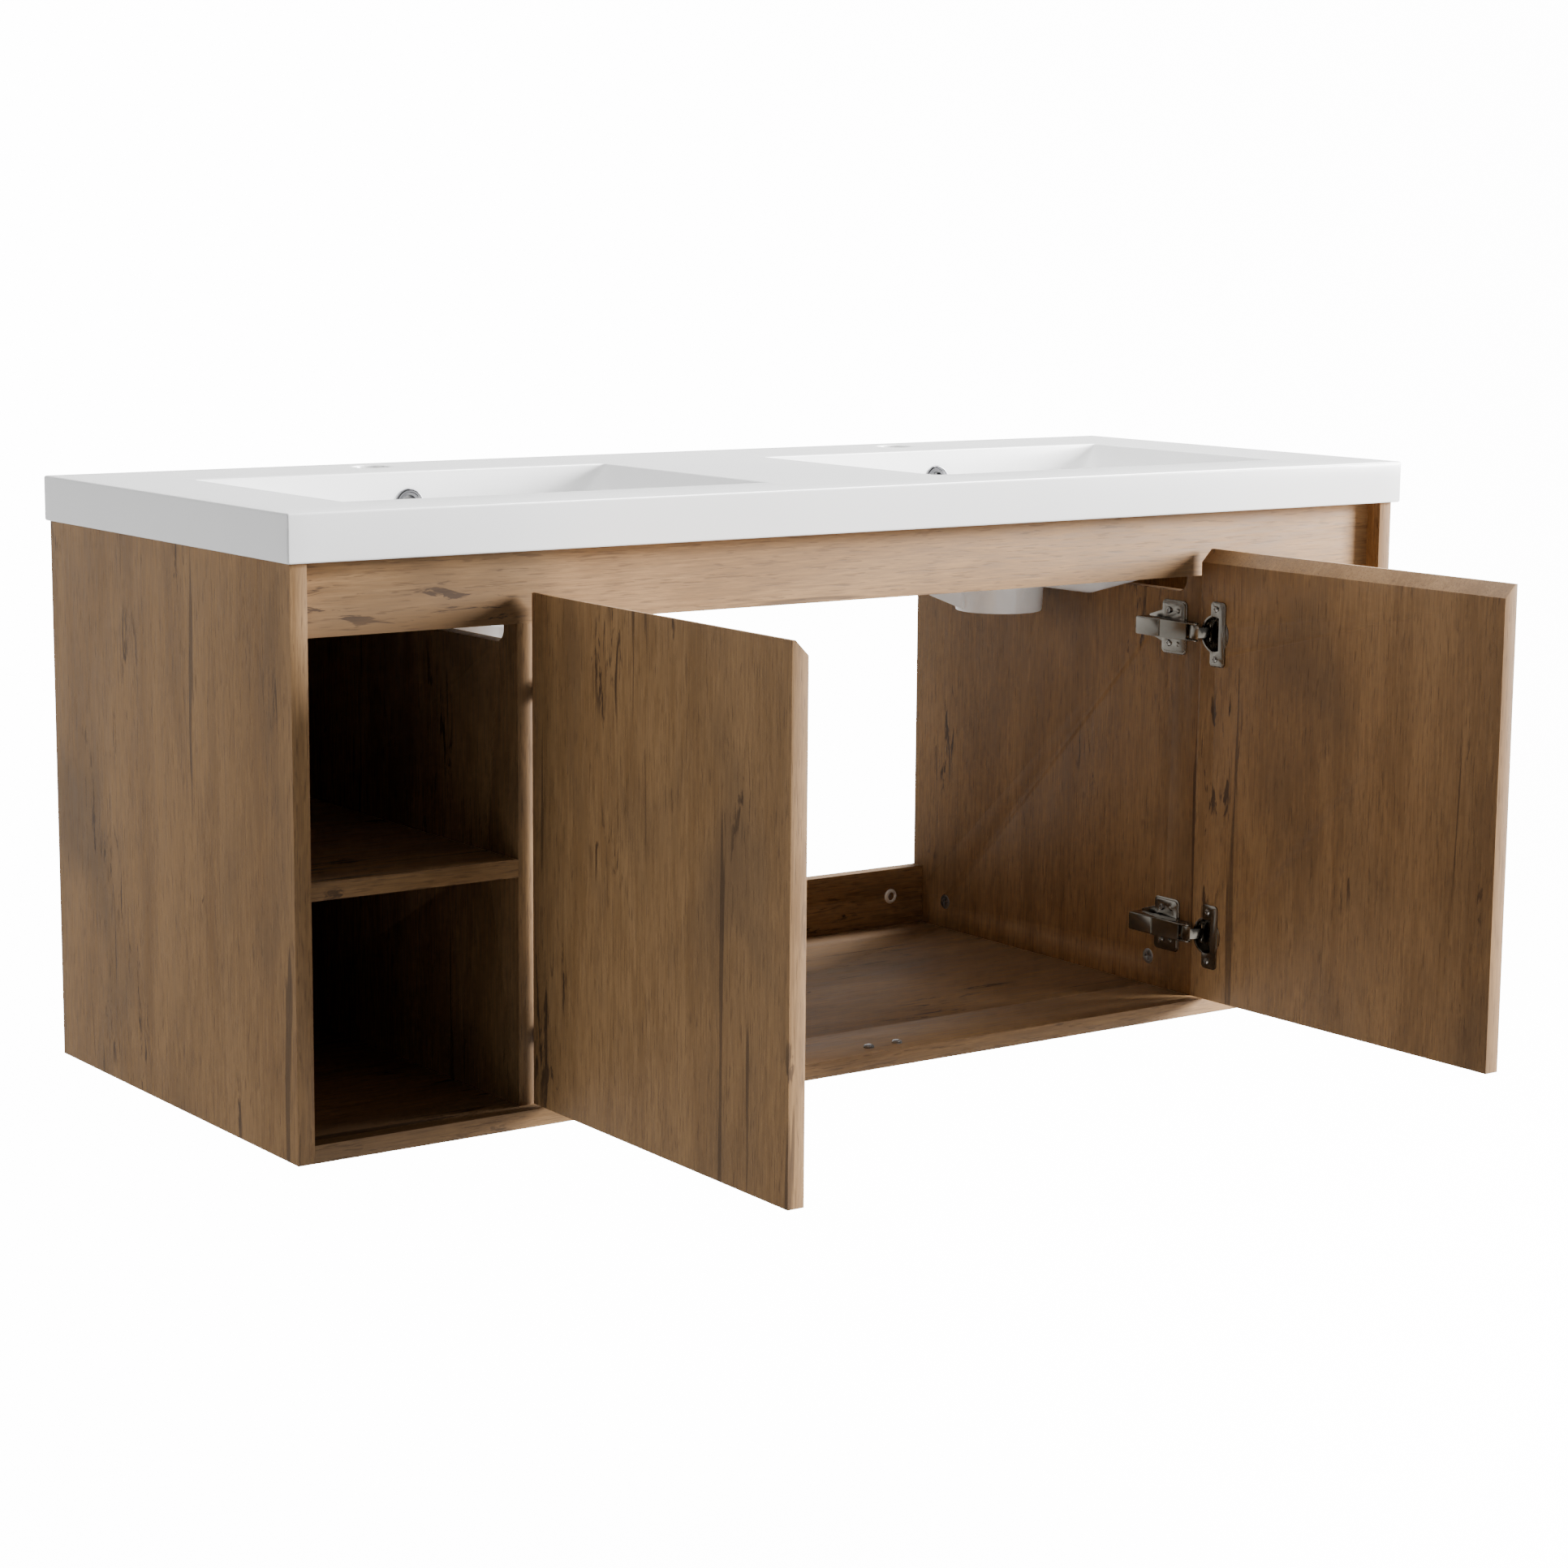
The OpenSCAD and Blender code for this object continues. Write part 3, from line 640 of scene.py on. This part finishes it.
@dataclass
class CastTop:
    """One casting: a slab with a raised edge, two basins with ramped ends, wastes and overflows.

    Both skins are grids over the same plan lines. Lines along X follow the basins' walls and
    fillets inwards as the basin deepens, so the rounds keep their radii from rim to floor.
    """

    finish: bpy.types.Material
    edge_height: float = 40 * MM
    skin: float = 18 * MM
    basin_x: float = 305 * MM
    basin_y: float = -249.5 * MM
    half_width: float = 212 * MM
    half_depth: float = 135.5 * MM
    floor_depth: float = 112 * MM
    ramp_depth: float = 90 * MM
    ramp_reach: float = 82 * MM
    ramp_rounds: tuple[float, float] = (60 * MM, 3 * MM)
    wall: float = 11 * MM
    end_wall_share: float = 1.25
    lean: float = math.radians(4)
    edge_round: float = 2.2 * MM
    rim_round: float = 2.0 * MM
    rim_round_below: float = 4 * MM
    floor_round: float = 26 * MM
    least_depth: float = 6 * MM
    least_depth_below: float = 9 * MM
    fade_depth: float = 14 * MM
    lip_side: float = 25 * MM
    lip_front: float = 44 * MM
    lip_back: float = 25 * MM
    lip_step: float = 0.4 * MM
    tap_y: float = -44 * MM
    tap_radius: float = 17.5 * MM
    waste_y: float = -219 * MM
    waste_radius: float = 22.5 * MM
    boss_radius: float = 45 * MM
    boss_depth: float = 152.5 * MM
    overflow_radius: float = 10 * MM
    overflow_depth: float = 30 * MM

    def __post_init__(self) -> None:
        """Reads the casting's box from the frame."""
        low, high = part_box("cast_top")
        self.half = float(high.x)
        self.front = float(low.y)
        self.top = float(high.z)
        self.base = self.top - self.edge_height
        self.recess = self.top - self.skin

    def length_path(self, grow: float) -> np.ndarray:
        """Half of a basin's section along its width, as (distance from its middle, depth) pairs.

        Args:
            grow: 0 for the inside, the wall's thickness for the outside.

        Returns:
            The pairs, from the middle outwards.
        """
        width = self.half_width + self.end_wall_share * grow
        foot = width - self.ramp_reach
        corners = np.array([[0.0, self.floor_depth + grow], [foot, self.ramp_depth + grow],
                            [width, 0.0], [width + 30 * MM, 0.0]])
        return rounded_path(corners, list(self.ramp_rounds), 11)

    def depth_at(self, x: np.ndarray, grow: float) -> np.ndarray:
        """Depth of the basins' deepest line at places along X: the section above, read at the
        distance to the nearer basin's middle and faded to 0 outside."""
        path = self.length_path(grow)
        return np.interp(np.abs(np.abs(x) - self.basin_x), path[:, 0], path[:, 1], right=0.0)

    def wall_rows(self, depth: np.ndarray, rim_round: float, floor_round: float,
                  least: float) -> tuple[np.ndarray, np.ndarray]:
        """Rows down one long wall: a round at the rim, the leaning wall and a round onto the floor.

        The rim's arc leaves the flat r·tan(t / 2) before the corner, with t a quarter turn less the
        lean. The floor's arc has the smaller of its full radius and half the depth. Where the basin
        is shallower than `least`, the rows keep that depth's spacing and only heights shrink.

        Args:
            depth: depth of the floor at each place along X.
            rim_round: radius at the rim.
            floor_round: full radius at the floor.
            least: depth under which only heights shrink.

        Returns:
            Distance inwards from the rim's corner, and depth, each one row a line.
        """
        real = np.maximum(depth, least)[None, :]
        turn = QUARTER - self.lean
        step = np.linspace(0, turn, 6)[:, None]
        reach = rim_round * math.tan(turn / 2)
        rim_in = -reach + rim_round * np.sin(step) + 0 * real
        rim_down = rim_round * (1 - np.cos(step)) + 0 * real
        radius = np.clip(0.5 * real, 3 * MM, floor_round)
        corner = real * math.tan(self.lean)
        around = np.linspace(math.pi + self.lean, 1.5 * math.pi, 12)[:, None]
        floor_in = corner + radius * math.tan(turn / 2) + radius * np.cos(around)
        floor_down = real - radius - radius * np.sin(around)
        share = np.linspace(0, 1, 6)[1:-1, None]
        wall_in = rim_in[-1:] + (floor_in[:1] - rim_in[-1:]) * share
        wall_down = rim_down[-1:] + (floor_down[:1] - rim_down[-1:]) * share
        inwards = np.vstack((rim_in, wall_in, floor_in))
        down = np.vstack((rim_down, wall_down, floor_down)) * (depth / real[0])[None, :]
        return inwards, down

    def edge_lines(self) -> np.ndarray:
        """Distances from an outer edge where the edge's round needs a line: r·(1 - cos a)."""
        return self.edge_round * (1 - np.cos(np.linspace(0, QUARTER, 6)))

    def columns(self) -> np.ndarray:
        """Places along X that the edges, the lips and both skins' basin sections need, with even
        lines over the floors and the ramps."""
        edge = self.half - self.edge_lines()
        lip = self.half - self.lip_side + np.array([-self.lip_step, self.lip_step])
        marks = [edge, lip, np.linspace(0, self.basin_x - self.half_width - 20 * MM, 4)]
        for grow in (0.0, self.wall):
            inner = self.length_path(grow)[:-1, 0]
            marks += [self.basin_x + inner, self.basin_x - inner]
        marks += [self.basin_x + sign * np.linspace(8 * MM, 120 * MM, 9) for sign in (-1, 1)]
        marks += [self.basin_x + sign * np.linspace(145 * MM, 205 * MM, 6) for sign in (-1, 1)]
        right = np.unique(np.round(np.concatenate(marks), 5))
        return np.concatenate((-right[right > 0][::-1], right))

    def skins(self) -> tuple[np.ndarray, np.ndarray]:
        """Both skins as grids of points.

        Rows run from the front edge to the back edge. Between the rims a row's place is the rim's
        corner plus the distance inwards, and the floor's rows share out what is left in between.
        The lower skin's rows fade to the upper skin's places by 3f² - 2f³, where f is the share of
        the fade's depth that the casting reaches below the slab.

        Returns:
            The upper and the lower skin, each rows by columns by 3.
        """
        x = self.columns()
        inner = self.depth_at(x, 0.0)
        below = np.maximum(self.depth_at(x, self.wall) - self.skin, 0.0)
        inwards, down = self.wall_rows(inner, self.rim_round, self.floor_round, self.least_depth)
        idle, _ = self.wall_rows(0 * inner, self.rim_round, self.floor_round, self.least_depth)
        offset = -self.wall / math.cos(self.lean) + self.skin * math.tan(self.lean)
        outer, under = self.wall_rows(below, self.rim_round_below, self.floor_round + self.wall,
                                      self.least_depth_below)
        fade = np.clip(below / self.fade_depth, 0, 1)[None, :]
        fade = fade * fade * (3 - 2 * fade)
        outer = idle + (outer + offset - idle) * fade

        def rows(steps: np.ndarray, depths: np.ndarray) -> tuple[np.ndarray, np.ndarray]:
            """Rows from the front rim over the floor to the back rim."""
            share = np.linspace(0, 1, 16)[1:-1, None]
            ahead = self.basin_y - self.half_depth + steps
            behind = (self.basin_y + self.half_depth - steps)[::-1]
            floor = ahead[-1:] + (behind[:1] - ahead[-1:]) * share
            flat = np.repeat(depths[-1:], len(share), axis=0)
            return np.vstack((ahead, floor, behind)), np.vstack((depths, flat, depths[::-1]))

        lips = np.array([-self.lip_step, self.lip_step])
        before = np.concatenate((self.front + self.edge_lines(),
                                 self.front + self.lip_front + lips))
        after = np.concatenate((-self.lip_back + lips, -self.edge_lines()[::-1]))
        after = np.concatenate((np.linspace(-95 * MM, -35 * MM, 3), after))
        skins = []
        for steps, depths, level in ((inwards, down, self.top), (outer, under, self.recess)):
            y, drop = rows(steps, depths)
            y = np.vstack((np.repeat(before[:, None], len(x), axis=1), y,
                           np.repeat(after[:, None], len(x), axis=1)))
            drop = np.vstack((np.zeros((len(before), len(x))), drop,
                              np.zeros((len(after), len(x)))))
            along = np.repeat(x[None, :], len(y), axis=0)
            skins.append(np.stack((along, y, level - drop), axis=-1))
        upper, lower = skins
        lip = ((np.abs(lower[..., 0]) > self.half - self.lip_side)
               | (lower[..., 1] < self.front + self.lip_front) | (lower[..., 1] > -self.lip_back))
        lower[lip, 2] = self.base
        for skin, sign in ((upper, -1.0), (lower, 1.0)):
            self.round_outline(skin, sign)
        return upper, lower

    def round_outline(self, skin: np.ndarray, sign: float) -> None:
        """Bends a skin over its outer edges.

        With a and b the shares of the edge's radius by which a point is into the round from the
        side and from the front or back, the corner's square becomes a disc through the new shares
        A = a·sqrt(1 - b²/2) and B = b·sqrt(1 - a²/2). The skin moves by r·(1 - sqrt(1 - A² - B²)).

        Args:
            skin: the skin's points, changed in place.
            sign: -1 to bend down, 1 to bend up.
        """
        radius = self.edge_round
        middle = self.front / 2
        reach_x = self.half - np.abs(skin[..., 0])
        reach_y = -middle - np.abs(skin[..., 1] - middle)
        a = np.clip((radius - reach_x) / radius, 0, 1)
        b = np.clip((radius - reach_y) / radius, 0, 1)
        disc_a = a * np.sqrt(1 - b * b / 2)
        disc_b = b * np.sqrt(1 - a * a / 2)
        skin[..., 0] -= np.sign(skin[..., 0]) * (a - disc_a) * radius
        skin[..., 1] -= np.sign(skin[..., 1] - middle) * (b - disc_b) * radius
        skin[..., 2] += sign * radius * (1 - np.sqrt(np.clip(1 - disc_a ** 2 - disc_b ** 2, 0, 1)))

    def slab(self) -> Surface:
        """Both skins, joined round their outlines.

        Returns:
            The closed surface.
        """
        upper, lower = self.skins()
        rows, columns = upper.shape[:2]
        count = rows * columns
        numbers = np.arange(count).reshape(rows, columns)
        outline = np.concatenate((numbers[0, :-1], numbers[:-1, -1],
                                  numbers[-1, :0:-1], numbers[:0:-1, 0]))
        onward = np.roll(outline, -1)
        side = np.stack((outline, onward, onward + count, outline + count), axis=-1)
        faces = grid_quads(rows, columns)
        return Surface(np.vstack((upper.reshape(-1, 3), lower.reshape(-1, 3))),
                       np.vstack((faces, faces[:, ::-1] + count, side)))

    def at_basin(self, surface: Surface, sign: int, y: float, tilt: float = 0.0,
                 down: float = 0.0) -> Surface:
        """A surface drawn about the origin, tilted about X and moved to a place of one basin.

        Args:
            surface: the surface.
            sign: -1 for the left basin, 1 for the right.
            y: place along Y.
            tilt: angle about X in radians.
            down: depth under the top.

        Returns:
            The placed surface.
        """
        cosine, sine = math.cos(tilt), math.sin(tilt)
        turn = np.array([[1, 0, 0], [0, cosine, -sine], [0, sine, cosine]])
        points = surface.points @ turn.T + np.array([sign * self.basin_x, y, self.top - down])
        return Surface(points, surface.quads, surface.caps)

    def overflow_y(self) -> float:
        """Place of the basin's back wall at the overflow's depth."""
        return self.basin_y + self.half_depth - self.overflow_depth * math.tan(self.lean)

    def tools(self) -> list[tuple[Surface, str]]:
        """Bosses to weld on and holes to cut: profiles as (radius, height under the top).

        Returns:
            Surfaces with the operation for each.
        """
        low, floor = -self.boss_depth, -self.floor_depth
        boss = np.array([[0, low], [self.boss_radius - 4 * MM, low],
                         [self.boss_radius - 2.4 * MM, low + 0.6 * MM],
                         [self.boss_radius - 1.9 * MM, low + 2.2 * MM],
                         [self.boss_radius, floor - 6 * MM], [0, floor - 6 * MM]])
        waste = np.array([[0, low - 5 * MM], [self.waste_radius, low - 5 * MM],
                          [self.waste_radius, floor - 3.5 * MM],
                          [self.waste_radius + 1.2 * MM, floor - 1.4 * MM],
                          [self.waste_radius + 4 * MM, floor + 0.5 * MM],
                          [self.waste_radius + 9 * MM, floor + 6 * MM], [0, floor + 6 * MM]])
        tap = np.array([[0, -self.skin - 4 * MM], [self.tap_radius, -self.skin - 4 * MM],
                        [self.tap_radius, -1.0 * MM], [self.tap_radius + 0.35 * MM, -0.35 * MM],
                        [self.tap_radius + 1.0 * MM, 0.0], [self.tap_radius + 2.0 * MM, 0.6 * MM],
                        [0, 0.6 * MM]])
        overflow = np.array([[0, -20 * MM], [self.overflow_radius, -20 * MM],
                             [self.overflow_radius, 4 * MM], [0, 4 * MM]])
        made = []
        for sign in (-1, 1):
            made.append((self.at_basin(lathe(boss, 96), sign, self.waste_y), "UNION"))
            made.append((self.duct(sign), "UNION"))
            made.append((self.at_basin(lathe(waste, 90), sign, self.waste_y), "DIFFERENCE"))
            made.append((self.at_basin(lathe(tap, 72), sign, self.tap_y), "DIFFERENCE"))
            made.append((self.duct_hollow(sign), "DIFFERENCE"))
            made.append((self.at_basin(lathe(overflow, 48), sign, self.overflow_y(),
                                       QUARTER - self.lean, self.overflow_depth), "DIFFERENCE"))
        return made

    def sweep(self, outline: list[tuple[float, float]], radius: float, half: float,
              sign: int) -> Surface:
        """Outline in Y and depth with rounded corners, carried along X over a basin's middle.

        Args:
            outline: corners, in millimetres, as (y, depth under the top).
            radius: radius at the corners.
            half: half the width along X.
            sign: -1 for the left basin, 1 for the right.

        Returns:
            The closed surface.
        """
        corners = np.array(outline, float) * MM * np.array([1.0, -1.0])
        loop = np.vstack((corners[-1:], corners, corners[:1]))
        ring = rounded_path(loop, [radius] * len(corners), 5)[1:-1]
        count = len(ring)
        points = np.vstack([np.column_stack((np.full(count, sign * self.basin_x + x), ring[:, 0],
                                             self.top + ring[:, 1])) for x in (-half, half)])
        caps = (np.arange(count), np.arange(count) + count)
        return Surface(points, grid_quads(2, count, around=True), caps)

    def duct(self, sign: int) -> Surface:
        """Outside of the overflow duct, from the back wall round to the waste. Its inner side runs
        within the basin's own wall."""
        return self.sweep([(-219, 113.5), (-219, 149), (-170, 141), (-112, 129), (-88, 106),
                           (-88, 15.5), (-110, 15.5), (-115, 84), (-117.5, 96), (-124.5, 105.5),
                           (-135, 111.8), (-146, 113.5)], 1.5 * MM, 46 * MM, sign)

    def duct_hollow(self, sign: int) -> Surface:
        """Inside of the overflow duct."""
        return self.sweep([(-204, 127.5), (-204, 139), (-170, 135), (-115, 124), (-94, 103),
                           (-94, 20), (-101, 20), (-101, 98), (-118, 115), (-150, 127)],
                          1.5 * MM, 12 * MM, sign)

    def build(self) -> None:
        """Makes the casting and hands it over."""
        piece = self.slab().to_object("cast_top_casting")
        for number, (surface, operation) in enumerate(self.tools()):
            carve(piece, surface.to_object(f"tool_{number}"), operation)
        tidy_mesh(piece.data)
        smooth_edges(piece, 34)
        hand_over(piece, body_of("cast_top"), "gelcoat", self.finish, "cast_top")


@dataclass
class OverflowRing:
    """Chrome ring pressed into an overflow: a rolled flange, a step and a neck."""

    side: str
    casting: CastTop
    finish: bpy.types.Material
    outer: float = 14.9 * MM
    neck: float = 9.85 * MM
    bore: float = 8.6 * MM
    height: float = 2.2 * MM
    depth: float = 8.0 * MM

    def build(self) -> None:
        """Makes the ring and hands it over."""
        corners = np.array([[self.bore, -self.depth], [self.neck, -self.depth],
                            [self.neck, 0.05 * MM], [self.outer, 0.05 * MM],
                            [self.outer - 0.9 * MM, self.height],
                            [self.bore + 3.0 * MM, self.height], [self.bore + 2.2 * MM, 0.9 * MM],
                            [self.bore, 0.7 * MM]])
        radii = [0.15 * MM, 0.15 * MM, 0.02 * MM, 0.25 * MM,
                 0.8 * MM, 0.5 * MM, 0.3 * MM, 0.25 * MM]
        loop = np.vstack((corners[-1:], corners, corners[:1]))
        profile = rounded_path(loop, radii, 6)[1:-1]
        top = self.casting
        sign = -1 if self.side == "left" else 1
        surface = top.at_basin(lathe(profile, 72), sign, top.overflow_y(), QUARTER - top.lean,
                               top.overflow_depth)
        piece = surface.to_object(f"overflow_ring_{self.side}_rolled")
        smooth_edges(piece)
        node = f"overflow_ring_{self.side}"
        hand_over(piece, body_of(node), "chrome_ring", self.finish, node)


# ---------- cabinet ----------


@dataclass
class BoardWork:
    """The cabinet's boards and doors: laminated boards with slightly eased edges."""

    ease: float = 0.45 * MM
    grains: dict[str, Grain] = field(default_factory=lambda: {
        "end_panel_left": Grain.ALONG_Z, "end_panel_right": Grain.ALONG_Z,
        "divider_left": Grain.ALONG_Z, "divider_right": Grain.ALONG_Z,
        "door_left": Grain.ALONG_Z, "door_right": Grain.ALONG_Z,
        "back_panel_left": Grain.ALONG_Z, "back_panel_right": Grain.ALONG_Z,
        "floor_panel": Grain.ALONG_X, "front_rail": Grain.ALONG_X,
        "upper_back_rail": Grain.ALONG_X, "lower_back_rail": Grain.ALONG_X,
        "shelf_left": Grain.ALONG_X, "shelf_right": Grain.ALONG_X})

    def build(self) -> None:
        """Makes every board and hands it over."""
        for number, (node, grain) in enumerate(self.grains.items(), start=1):
            finish = OakLaminate(grain, float(number)).build()
            piece = eased_copy(node, self.ease, f"{node}_board")
            hand_over(piece, body_of(node), "oak_laminate", finish, node)


@dataclass
class Hardware:
    """Small parts whose solids are right as they are: they get eased edges and their finish."""

    nickel: bpy.types.Material
    bright: bpy.types.Material
    zinc: bpy.types.Material
    plastic: bpy.types.Material
    damper: bpy.types.Material
    beech: bpy.types.Material

    def build(self) -> None:
        """Makes every small part and hands it over."""
        for side in SIDES:
            for level in LEVELS:
                for kind in ("cup", "link", "arm", "plate"):
                    self.ease(f"hinge_{kind}_{side}_{level}", "nickel", self.nickel, 0.22 * MM)
            self.ease(f"cup_pins_{side}", "nickel", self.nickel, 0.15 * MM)
            self.ease(f"dampers_{side}", "damper_plastic", self.damper, 0.3 * MM)
            self.ease(f"cup_screws_{side}", "screw_steel", self.bright, 0.12 * MM)
        self.ease("arm_pins", "nickel", self.nickel, 0.2 * MM)
        self.ease("arm_screws", "screw_steel", self.bright, 0.12 * MM)
        self.ease("plate_screws", "screw_steel", self.bright, 0.12 * MM)
        self.ease("cam_locks", "zinc", self.zinc, 0.2 * MM)
        self.ease("cam_bolts", "screw_steel", self.bright, 0.15 * MM)
        self.ease("dowels", "beech", self.beech, 0.4 * MM)
        self.ease("wall_washers", "white_plastic", self.plastic, 0.3 * MM)

    def ease(self, node: str, slot: str, finish: bpy.types.Material, width: float) -> None:
        """Makes one eased part and hands it over.

        Args:
            node: the CAD node.
            slot: the record's material slot.
            finish: the material.
            width: width of the bevel in metres.
        """
        piece = eased_copy(node, width, f"{node}_finished")
        hand_over(piece, body_of(node), slot, finish, node)


@dataclass
class DoorBumpers:
    """Two clear domes stuck to the floor's front edge."""

    finish: bpy.types.Material
    radius: float = 5.0 * MM
    rim: float = 0.7 * MM
    foot_edge: float = 0.3 * MM
    fullness: float = 0.6

    def build(self) -> None:
        """Makes both domes as one piece.

        From the rim to the crown a dome's radius is r·cos(a)^fullness and its height grows by
        sin(a), for a from 0 to a quarter turn.
        """
        low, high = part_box("door_bumpers")
        middle = (low.y + high.y) / 2
        height = high.z - low.z
        arc = np.linspace(0, QUARTER, 10)
        dome = np.column_stack((self.radius * np.cos(arc) ** self.fullness,
                                self.rim + (height - self.rim) * np.sin(arc)))
        dome[-1, 0] = 0
        foot = np.array([[0, 0], [self.radius - self.foot_edge, 0.0],
                         [self.radius, self.foot_edge]])
        turned = lathe(np.vstack((foot, dome)), 40)
        surfaces = [Surface(turned.points + np.array([x, middle, low.z]), turned.quads)
                    for x in (low.x + self.radius, high.x - self.radius)]
        piece = surfaces[0].joined(surfaces[1]).to_object("door_bumper_domes")
        smooth_edges(piece, 50)
        hand_over(piece, body_of("door_bumpers"), "clear_bumper", self.finish, "door_bumpers")


# ---------- studio ----------


@dataclass(frozen=True)
class SoftLamp:
    """Square soft lamp: its place, what it points at, its width in metres and its watts."""

    name: str
    place: Triple
    target: Triple
    size: float
    power: float

    def build(self) -> None:
        """Puts the lamp into the scene."""
        data = bpy.data.lights.new(self.name, "AREA")
        data.shape = "SQUARE"
        data.size = self.size
        data.energy = self.power
        lamp = bpy.data.objects.new(self.name, data)
        bpy.context.scene.collection.objects.link(lamp)
        lamp.location = self.place
        sight = Vector(self.target) - Vector(self.place)
        lamp.rotation_euler = sight.to_track_quat("-Z", "Y").to_euler()


@dataclass(frozen=True)
class StudioCamera:
    """Camera at the left front, a little above the top, turned by its line of sight and its
    rightward direction."""

    lens: float = 78.42
    sensor: float = 36.0
    shift: tuple[float, float] = (-0.0008, -0.0026)
    place: Triple = (-1.8358, -2.8535, 0.5064)
    forward: Triple = (0.57357, 0.80318, -0.16096)
    rightward: Triple = (0.81453, -0.58007, 0.008045)

    def build(self) -> None:
        """Puts the camera into the scene, with its axes made square to each other."""
        data = bpy.data.cameras.new("camera")
        data.lens = self.lens
        data.sensor_width = self.sensor
        data.shift_x, data.shift_y = self.shift
        forward = Vector(self.forward).normalized()
        right = Vector(self.rightward)
        right = (right - forward * right.dot(forward)).normalized()
        turn = Matrix((right, right.cross(forward), -forward)).transposed()
        camera = bpy.data.objects.new("camera", data)
        bpy.context.scene.collection.objects.link(camera)
        camera.matrix_world = Matrix.Translation(self.place) @ turn.to_4x4()
        bpy.context.scene.camera = camera


@dataclass
class Studio:
    """Pale floor with a round sweep up behind, soft lamps and the camera."""

    floor_drop: float = 0.55
    floor_size: float = 14.0
    sweep_place: float = 3.2
    sweep_radius: float = 1.2
    sweep_height: float = 4.5
    world_light: float = 0.16
    lamps: tuple[SoftLamp, ...] = (
        SoftLamp("key", (4.0, -2.9, 1.2), (0.0, -0.4, 0.1), 1.6, 1080.0),
        SoftLamp("left_fill", (-3.6, -0.15, 0.8), (-0.6, -0.2, 0.0), 1.2, 50.0),
        SoftLamp("top_soft", (1.9, 0.1, 2.4), (0.0, -0.25, 0.28), 2.0, 430.0))

    def build(self) -> None:
        """Makes the floor, the lamps and the camera."""
        self.floor()
        self.world()
        for lamp in self.lamps:
            lamp.build()
        StudioCamera().build()

    def floor(self) -> None:
        """Square of paper under the cabinet, swept up behind it."""
        level = float(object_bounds()[0][2]) - self.floor_drop
        half = self.floor_size / 2
        corners = np.array([[-half, level], [self.sweep_place, level],
                            [self.sweep_place, level + self.sweep_height]])
        path = rounded_path(corners, [self.sweep_radius], 16)
        points = np.stack([np.column_stack((np.full(len(path), x), path[:, 0], path[:, 1]))
                           for x in np.linspace(-half, half, 3)])
        mesh = bpy.data.meshes.new("studio_floor")
        mesh.from_pydata(points.reshape(-1, 3).tolist(), [], grid_quads(3, len(path)).tolist())
        paper = bpy.data.objects.new("studio_floor", mesh)
        bpy.context.scene.collection.objects.link(paper)
        mesh.shade_smooth()
        mesh.materials.append(StudioPaper().build())
        paper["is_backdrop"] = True

    def world(self) -> None:
        """Even white surround."""
        world = bpy.data.worlds.new("studio_world")
        world.use_nodes = True
        background = world.node_tree.nodes["Background"]
        background.inputs["Color"].default_value = rgb(1.0, 1.0, 1.0)
        background.inputs["Strength"].default_value = self.world_light
        bpy.context.scene.world = world


def main() -> None:
    """Builds the studio and every sub-assembly in order."""
    logging.basicConfig(level=logging.INFO, format="%(message)s")
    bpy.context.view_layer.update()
    Studio().build()
    casting = CastTop(GelCoat().build())
    casting.build()
    chrome = PlatedMetal("chrome_ring", rgb(0.22, 0.22, 0.23), 0.08, 0.0, 0.02).build()
    for side in SIDES:
        OverflowRing(side, casting, chrome).build()
    BoardWork().build()
    Hardware(
        nickel=PlatedMetal("nickel_plate", rgb(0.205, 0.188, 0.160), 0.21).build(),
        bright=PlatedMetal("zinc_plate", rgb(0.28, 0.262, 0.235), 0.22).build(),
        zinc=PlatedMetal("cast_zinc", rgb(0.33, 0.32, 0.31), 0.42).build(),
        plastic=MouldedPlastic("white_plastic", rgb(0.72, 0.71, 0.68)).build(),
        damper=MouldedPlastic("damper_plastic", rgb(0.045, 0.045, 0.047)).build(),
        beech=Beech().build(),
    ).build()
    DoorBumpers(ClearBumper().build()).build()


if __name__ == "__main__":
    main()
